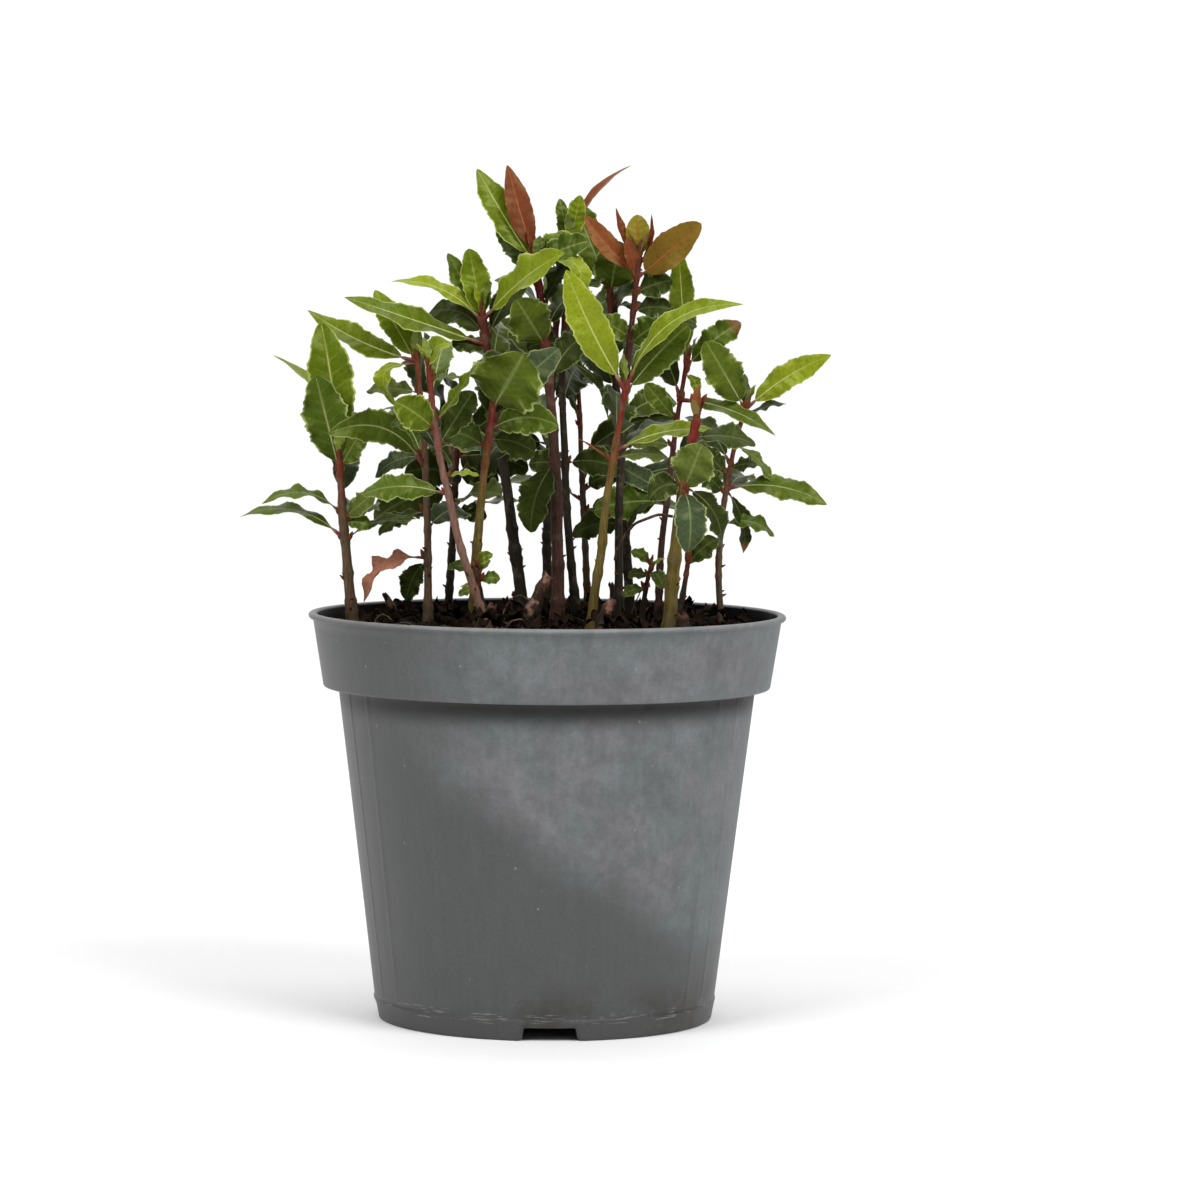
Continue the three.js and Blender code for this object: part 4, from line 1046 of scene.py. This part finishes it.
def pot_profile():
    """Half section of the pot: underside, foot, body, collar, lip and inside."""
    body = [(wall_radius(z), z) for z in np.linspace(14, 128, 16)]
    line = [(wall_radius(FOOT_LINE) + out, FOOT_LINE + up) for out, up in
            ((0.25, -1.2), (0.3, -0.5), (-0.25, 0.0), (0.0, 0.5))]
    collar = [(COLLAR_FOOT_RADIUS + 4.0 * h, COLLAR_START + 25.7 * h) for h in np.linspace(0, 1, 8)]
    inside = [(91.8 - 4.0 * h, 161.0 - 26.3 * h) for h in np.linspace(0, 1, 6)]
    return [
        (0, 5.6), (40, 5.6), (62.6, 5.6), (63.3, 5.3), (63.7, 4.6), (63.7, 0.5), (64.1, 0.0), (66.2, 0.0),
        (66.9, 0.2), (67.3, 0.7), (67.55, 1.6), *line, *body,
        (83.1, 131.0), (83.35, 131.9), (84.0, 132.4), (84.8, 132.5), (88.1, 132.5), (88.9, 132.7),
        (89.3, 133.2), *collar,
        (93.8, 159.75), (94.7, 159.9), (95.1, 160.4), (95.2, 161.0), (94.9, 161.6), (94.3, 162.0),
        (92.6, 162.0), (92.0, 161.7), *inside,
        (87.0, 134.2), (82.0, 133.6), (81.6, 132.8), (66.6, 8.2), (65.8, 7.2), (0, 7.2),
    ]


def is_inside(r, z):
    """Whether a point of the pot lies on its inside or its underside."""
    if z < BASE_LEVEL:
        return r < FOOT_INSIDE
    collar = COLLAR_FOOT_RADIUS + COLLAR_SLOPE * (z - COLLAR_START)
    outer = wall_radius(z) if z < COLLAR_FOOT + WALL else collar
    return BASE_LEVEL < z < LIP_INSIDE and r < outer - WALL


def notch_floor(turn):
    """How far a drain notch lifts the foot's edge at this turn, in millimetres."""
    gap = (turn - NOTCH_TURN + 45) % (360 / NOTCH_COUNT) - 45
    d = abs(math.radians(gap)) * FOOT_RADIUS
    if d < NOTCH_HALF:
        return NOTCH_HEIGHT
    if d < NOTCH_HALF + NOTCH_ROUND:
        return NOTCH_ROUND - math.sqrt(NOTCH_ROUND ** 2 - (NOTCH_HALF + NOTCH_ROUND - d) ** 2)
    return 0.0


class LAUREL_OT_pot(Operator):
    """Turn the pot, cut its drain notches and raise its seams"""
    bl_idname = "laurel.pot"
    bl_label = "Pot"

    def execute(self, context):
        look = context.scene.laurel.pot
        bm = spun(pot_profile(), POT_STEPS)
        inside = bm.verts.layers.float.new("inside")
        for v in bm.verts:
            x, y, z = (c / MM for c in v.co)
            r, turn = math.hypot(x, y), math.degrees(math.atan2(y, x))
            v[inside] = float(is_inside(r, z))
            if r > 62 and z < NOTCH_HEIGHT:
                floor = notch_floor(turn)
                v.co.z = (floor + z * (1 - floor / NOTCH_HEIGHT)) * MM
            if r > 60 and 10 < z < COLLAR_FOOT - 1.5 and r > wall_radius(z) - 0.6:
                for seam in SEAM_TURNS:
                    d = math.radians((turn - seam + 180) % 360 - 180) * r
                    out = look.seam_height * math.exp(-(d / SEAM_HALF) ** 2)
                    v.co.x += out * x / r
                    v.co.y += out * y / r
            if z > SAG_FROM:
                share = SAG * (z - SAG_FROM) / (POT_HEIGHT - SAG_FROM)
                sag = share * math.sin(math.radians(2 * turn + SAG_TURN)) * MM
                v.co.x += sag * x / max(r, 1)
                v.co.y += sag * y / max(r, 1)
        piece("nursery_pot", finished(bm, "nursery_pot"), pot_material(look), ["pot"])
        return {"FINISHED"}


def scatter(rng, reach):
    """A random spot on the soil, within reach of the pot's axis."""
    r, a = reach * math.sqrt(rng.random()), rng.uniform(0, FULL_TURN)
    return r * math.cos(a), r * math.sin(a)


class LAUREL_OT_soil(Operator):
    """Lay the soil with its clods, bark bits and fine roots"""
    bl_idname = "laurel.soil"
    bl_label = "Soil"

    def execute(self, context):
        look = context.scene.laurel.soil
        rings = [(SOIL_RADIUS * h, SOIL_TOP) for h in np.linspace(1, 0, 48)]
        bm = spun([(0, SOIL_FOOT), (SOIL_FOOT_RADIUS, SOIL_FOOT), *rings], SOIL_STEPS)
        for v in bm.verts:
            if v.co.z > (SOIL_FOOT + 5) * MM:
                x, y = v.co.x / MM, v.co.y / MM
                rise = grain(0.05 * x, 0.05 * y, 1, 1) + 0.55 * grain(0.16 * x, 0.16 * y, 2, 2)
                rise += 0.4 * grain(0.5 * x, 0.5 * y, 3, 3)
                rim = min(1, (SOIL_RADIUS - math.hypot(x, y)) / 8)
                v.co.z += (rise * look.relief - SOIL_SINK * MM) * (0.35 + 0.65 * rim)
        earth = earth_material("peat_compost", look.peat, look.crumb, 5.0)
        piece("potting_soil", finished(bm, "potting_soil"), earth, ["soil"])
        self.crumbs(look, earth)
        self.litter(look)
        return {"FINISHED"}

    def crumbs(self, look, earth):
        rng = random.Random(CRUMB_SEED)
        ball, faces = bmesh_shape(lambda bm: bmesh.ops.create_icosphere(bm, subdivisions=1, radius=1))
        batch = Batch()
        for _ in range(look.crumbs):
            size = 0.7 + 2.6 * rng.random() ** 3
            x, y = scatter(rng, SOIL_RADIUS * CRUMB_SHARE)
            shape = ball * np.array([[rng.uniform(0.6, 1.25)] for _ in ball]) * size
            shape = shape * np.array([rng.uniform(0.7, 1.3), rng.uniform(0.7, 1.3), rng.uniform(0.5, 0.9)])
            spot = np.array([x, y, SOIL_TOP + 0.2 * size + rng.uniform(-0.5, 1.2)])
            lean = (rng.uniform(-1, 1), rng.uniform(-1, 1), 1)
            batch.add(turned(shape, lean, rng.uniform(0, 6)) + spot, faces)
        batch.piece("soil_crumbs", earth, "soil")

    def litter(self, look):
        rng = random.Random(LITTER_SEED)
        chips, fibres, fallen = self.chips(rng), self.fibres(rng), self.fallen(rng)
        fallen.piece("fallen_leaves", earth_material("fallen_leaf", look.peat, look.chip, 4.0), "soil")
        chips.piece("bark_chips", earth_material("bark_chip", look.peat, look.chip, 2.0), "soil")
        fibres.piece("root_fibres", earth_material("dead_root", look.chip, look.fibre, 3.0), "soil")

    def chips(self, rng):
        """Small blocks of bark that lie about."""
        batch = Batch()
        block, faces = bmesh_shape(lambda bm: bmesh.ops.create_cube(bm, size=1))
        for _ in range(CHIPS):
            size = np.array([rng.uniform(2, 8), rng.uniform(1, 2.6), rng.uniform(0.5, 1.2)])
            x, y = scatter(rng, CHIP_REACH)
            shape = block * size * np.array([[rng.uniform(0.75, 1.1)] for _ in block])
            spot = np.array([x, y, SOIL_TOP + rng.uniform(0.2, 1.8)])
            lean = (rng.uniform(-0.6, 0.6), rng.uniform(-0.6, 0.6), 1)
            batch.add(turned(shape, lean, rng.uniform(0, ANY_PHASE)) + spot, faces)
        return batch

    def fibres(self, rng):
        """Fine dead roots on the soil, and the strands that stand clear of it."""
        batch = Batch()
        for _ in range(FIBRES):
            x, y = scatter(rng, FIBRE_REACH)
            heading, reach = rng.uniform(0, FULL_TURN), rng.uniform(8, 26)
            h = np.linspace(0, 1, FIBRE_POINTS)
            sweep = heading + rng.uniform(-1.6, 1.6) * h
            step = reach / FIBRE_POINTS
            x = x + np.cumsum(np.cos(sweep)) * step
            y = y + np.cumsum(np.sin(sweep)) * step
            far = np.maximum(1, np.hypot(x, y) / FIBRE_LIMIT)
            z = SOIL_TOP + 0.3 + rng.uniform(1, 7) * np.sin(np.pi * h) * rng.random()
            points = np.stack([x / far, y / far, z], axis=1)
            radii = np.repeat((rng.uniform(0.22, 0.45) * (1.1 - 0.6 * h))[:, None], FIBRE_SIDES, axis=1)
            batch.add(*tube(points, radii, UPWARD)[:2])
        for bends, radius in STRANDS:
            knots = np.array(bends, float)
            h = np.linspace(0, len(knots) - 1, 8 * len(knots))
            points = np.stack([np.interp(h, np.arange(len(knots)), knots[:, i]) for i in range(3)], axis=1)
            for _ in range(3):
                points[1:-1] = (points[:-2] + 2 * points[1:-1] + points[2:]) / 4
            radii = np.full((len(points), FIBRE_SIDES), radius)
            batch.add(*tube(points, radii, BACKWARD)[:2])
        return batch

    def fallen(self, rng):
        """Old leaves that lie on the soil, within the pot's wall."""
        batch = Batch()
        for _ in range(FALLEN):
            spot = scatter(rng, FALLEN_REACH)
            stand = Shoot("fallen", spot, (*spot, SOIL_TOP + 3), 1, 0)
            shape = [rng.uniform(*reach) for reach in FALLEN_SHAPE]
            leaf = Leaf(stand, 0.5, *shape, "dead")
            points, *_ = blade_points(leaf, rng)
            if np.hypot(points[:, 0], points[:, 1]).max() < SOIL_RADIUS - 3:
                batch.add(points, grid_of(leaf).faces)
        return batch


class LAUREL_OT_stems(Operator):
    """Grow the stems in bark, with stubs of old wood, leaf scars and buds"""
    bl_idname = "laurel.stems"
    bl_label = "Stems"

    def execute(self, context):
        look = context.scene.laurel.bark
        shoots = grow()
        rows = shoots + [Shoot("stub", foot, top, girth, 0) for foot, top, girth in STUBS]
        for bark in BARK_KINDS:
            batch = Batch()
            kind = [(seed, shoot) for seed, shoot in enumerate(rows) if shoot.bark == bark]
            for index, (seed, shoot) in enumerate(kind):
                rng = random.Random(STEM_SEED + seed)
                body, faces, run = stem_tube(shoot, seed, look.relief, rng)
                corner, size = cell(index, len(kind), len(kind))
                batch.add(body, faces, {"OFBake": corner + run * size, "Bark": run})
            low, high = (getattr(look, f"{bark}_{end}") for end in ("low", "high"))
            nodes = ["stem_" + shoot.name for _, shoot in kind if shoot.name != "stub"]
            skin = (look.peeled, 0.8) if bark == "wood" else (look.skin, 0.3)
            batch.piece("stems_" + bark, bark_material("bark_" + bark, low, high, *skin), "stem", nodes)
        self.buds(shoots, context.scene.laurel.leaf)
        return {"FINISHED"}

    def buds(self, shoots, look):
        make = bmesh.ops.create_uvsphere
        ball, faces = bmesh_shape(lambda bm: make(bm, u_segments=8, v_segments=6, radius=1))
        taper = 1 - 0.45 * np.clip(ball[:, 2], 0, 1)
        pointed = ball * np.stack([taper, taper, np.ones(len(ball))], axis=1)
        batch = Batch()
        rng = random.Random(BUD_SEED)
        for shoot in shoots:
            if shoot.bare >= 1:
                continue
            for leaf in shoot.grown:
                size = rng.uniform(0.7, 1.2)
                out = unit(leaf.along * np.array([1, 1, 0]) + np.array([1e-6, 0, 0]))
                spot = leaf.base + out * (float(shoot.radius(leaf.at)) + 0.4) + 1.6 * UPWARD
                shape = pointed * np.array([0.9, 0.9, 2.0]) * size
                batch.add(turned(shape, unit(out * 0.5 + UPWARD), rng.random()) + spot, faces)
            for _ in range(SPURS):
                at, turn = rng.uniform(0.08, max(0.3, shoot.bare)), rng.uniform(0, FULL_TURN)
                out = np.array([math.cos(turn), math.sin(turn), 0])
                spot = shoot.point(at) + out * float(shoot.radius(at))
                shape = pointed * np.array([0.6, 0.6, 1.9]) * rng.uniform(0.6, 1.2)
                batch.add(turned(shape, unit(out + UPWARD * rng.uniform(0.2, 1)), 0) + spot, faces)
            shape = pointed * np.array([1.5, 1.5, 4.2]) * shoot.size ** 0.5
            batch.add(turned(shape, unit(shoot.top - shoot.bend), 0) + shoot.top + 1.5 * UPWARD, faces)
        batch.piece("buds", earth_material("bud_scale", look.bud, look.stalk, 4.0), "foliage")


class LAUREL_OT_leaves(Operator):
    """Grow the leaves by the rule, with their stalks and ribs, joined by kind"""
    bl_idname = "laurel.leaves"
    bl_label = "Leaves"

    def execute(self, context):
        look = context.scene.laurel.leaf
        shoots = grow()
        every = [(shoot, leaf) for index, shoot in enumerate(shoots) for leaf in self.with_tips(shoot, index)]
        tone_of = {kind: tone for tone, kinds in RIB_TONES.items() for kind in kinds}
        ribs = {tone: Batch() for tone in RIB_TONES}
        totals = {tone: sum(tone_of[leaf.kind] == tone for _, leaf in every) for tone in RIB_TONES}
        done = dict.fromkeys(RIB_TONES, 0)
        rng = random.Random(LEAF_SEED)
        for kind, (*_, dull, gloss) in LEAF_KINDS.items():
            chosen = [(shoot, leaf) for shoot, leaf in every if leaf.kind == kind]
            batch = Batch()
            across = math.ceil(math.sqrt(2 * len(chosen) * 2.4))
            under = []
            for index, (_, leaf) in enumerate(chosen):
                points, vein, dry, spine = blade_points(leaf, rng)
                grid = grid_of(leaf)
                corners = len(grid.flat) // 2
                spread = []
                for sheet in range(2):
                    corner, size = cell(2 * index + sheet, 2 * len(chosen), across)
                    spread.append(corner + grid.flat[sheet * corners:(sheet + 1) * corners] * size)
                batch.add(points, grid.faces, {"OFBake": np.concatenate(spread), "Leaf": grid.flat},
                          {"vein": vein, "shade": rng.random(), "dry": dry}, grid.rim)
                under.append(np.repeat([0.0, 1.0], len(grid.faces) // 2))
                tone = tone_of[kind]
                body, faces, run = rib_tube(leaf, *spine)
                corner, size = cell(done[tone], totals[tone], math.ceil(math.sqrt(totals[tone])))
                ribs[tone].add(body, faces, {"OFBake": corner + run * size, "Bark": run})
                done[tone] += 1
            mesh = batch.mesh("leaves_" + kind)
            mark = mesh.attributes.new("under", "FLOAT", "FACE")
            mark.data.foreach_set("value", np.concatenate(under).astype(np.float32))
            tones = (getattr(look, name) for name in (kind + "_a", kind + "_b", tone_of[kind] + "_rib"))
            material = leaf_material(kind, *tones, dull, gloss)
            nodes = sorted({"foliage_" + shoot.name for shoot, _ in chosen})
            piece("leaves_" + kind, mesh, material, nodes)
        for tone, batch in ribs.items():
            material = rib_material("leaf_rib_" + tone, look.stalk, getattr(look, tone + "_rib"))
            batch.piece("ribs_" + tone, material, "foliage")
        return {"FINISHED"}

    def with_tips(self, shoot, index):
        """The shoot's leaves and the small ones that unfold round its tip bud."""
        if shoot.bare >= 1 or not shoot.grown:
            return shoot.grown
        kinds = [leaf.kind for leaf in shoot.grown if leaf.at > 0.9] or ["mature"]
        small = []
        for step in range(TIP_LEAVES):
            pick = chance(index + TIP_SEED, step)
            turn = 360 * (GOLDEN_SHARE * step + chance(index + TIP_SEED, 9))
            small.append(Leaf(
                shoot, at=0.985, turn=turn, rise=58 + 22 * pick, length=shoot.size * (9 + 6 * pick),
                width=shoot.size * (3.2 + 1.6 * pick), face=40 * pick, arch=0.02,
                kind=kinds[step % len(kinds)]))
        return shoot.grown + small


class LAUREL_OT_stage(Operator):
    """Set the floor, the soft light and the camera"""
    bl_idname = "laurel.stage"
    bl_label = "Stage"

    def execute(self, context):
        scene, look = context.scene, context.scene.laurel.stage
        self.floor(scene, look)
        for name, power, *rest in LAMPS:
            self.lamp(scene, name, getattr(look, power), *rest)
        self.sky(scene, look)
        scene.view_settings.view_transform = "Standard"
        scene.view_settings.look = "None"
        self.camera(scene, look)
        return {"FINISHED"}

    def floor(self, scene, look):
        """A floor that sweeps up into the backdrop."""
        bm = bmesh.new()
        curve = [(SWEEP_START + SWEEP_RADIUS * math.sin(a), SWEEP_RADIUS - SWEEP_RADIUS * math.cos(a))
                 for a in np.linspace(0, math.pi / 2, 20)]
        sweep = [(FLOOR_FRONT, 0.0), *curve, (SWEEP_START + SWEEP_RADIUS, BACKDROP_TOP)]
        line = [bm.verts.new((-FLOOR_HALF, y, z)) for y, z in sweep]
        edges = [bm.edges.new(pair) for pair in zip(line, line[1:])]
        made = bmesh.ops.extrude_edge_only(bm, edges=edges)
        far = [v for v in made["geom"] if isinstance(v, bmesh.types.BMVert)]
        bmesh.ops.translate(bm, verts=far, vec=(2 * FLOOR_HALF, 0, 0))
        bmesh.ops.recalc_face_normals(bm, faces=bm.faces)
        mesh = bpy.data.meshes.new("floor")
        bm.to_mesh(mesh)
        bm.free()
        mesh.shade_smooth()
        mesh.materials.append(floor_material(look))
        floor = bpy.data.objects.new("floor", mesh)
        scene.collection.objects.link(floor)

    def sky(self, scene, look):
        world = bpy.data.worlds.new("even_sky")
        world.use_nodes = True
        back = world.node_tree.nodes["Background"]
        back.inputs["Color"].default_value = linear("ffffff")
        back.inputs["Strength"].default_value = look.sky
        scene.world = world

    def camera(self, scene, look):
        lens = bpy.data.cameras.new("camera")
        lens.sensor_width = CAMERA_SENSOR
        lens.lens = look.lens
        lens.shift_x = CAMERA_SHIFT
        lens.clip_end = CAMERA_REACH
        camera = bpy.data.objects.new("camera", lens)
        camera.location = (AXIS_X * MM, -CAMERA_BACK, CAMERA_HEIGHT)
        tilt = Matrix.Rotation(math.radians(90 - CAMERA_FALL), 3, "X")
        roll = Matrix.Rotation(math.radians(CAMERA_ROLL), 3, "Z")
        camera.rotation_euler = (tilt @ roll).to_euler()
        scene.collection.objects.link(camera)
        scene.camera = camera

    def lamp(self, scene, name, power, size, spot, target):
        data = bpy.data.lights.new(name, "AREA")
        data.energy = power
        data.size = size
        lamp = bpy.data.objects.new(name, data)
        lamp.location = spot
        lamp.rotation_euler = (Vector(target) - Vector(spot)).to_track_quat("-Z", "Y").to_euler()
        scene.collection.objects.link(lamp)


class LAUREL_PT_panel(Panel):
    """Lists the steps that build the plant"""
    bl_idname = "LAUREL_PT_panel"
    bl_label = "Bay Laurel"
    bl_space_type = "VIEW_3D"
    bl_region_type = "UI"
    bl_category = "Bay Laurel"

    def draw(self, context):
        for step in STEPS:
            self.layout.operator(step.bl_idname)


STEPS = (LAUREL_OT_pot, LAUREL_OT_soil, LAUREL_OT_stems, LAUREL_OT_leaves, LAUREL_OT_stage)
CLASSES = (PotLook, SoilLook, BarkLook, LeafLook, StageLook, LaurelSettings, *STEPS, LAUREL_PT_panel)


def register():
    for cls in CLASSES:
        bpy.utils.register_class(cls)
    bpy.types.Scene.laurel = PointerProperty(type=LaurelSettings)


def unregister():
    del bpy.types.Scene.laurel
    for cls in reversed(CLASSES):
        bpy.utils.unregister_class(cls)


def main():
    register()
    for step in STEPS:
        getattr(bpy.ops.laurel, step.bl_idname.split(".")[1])()


if __name__ == "__main__":
    main()
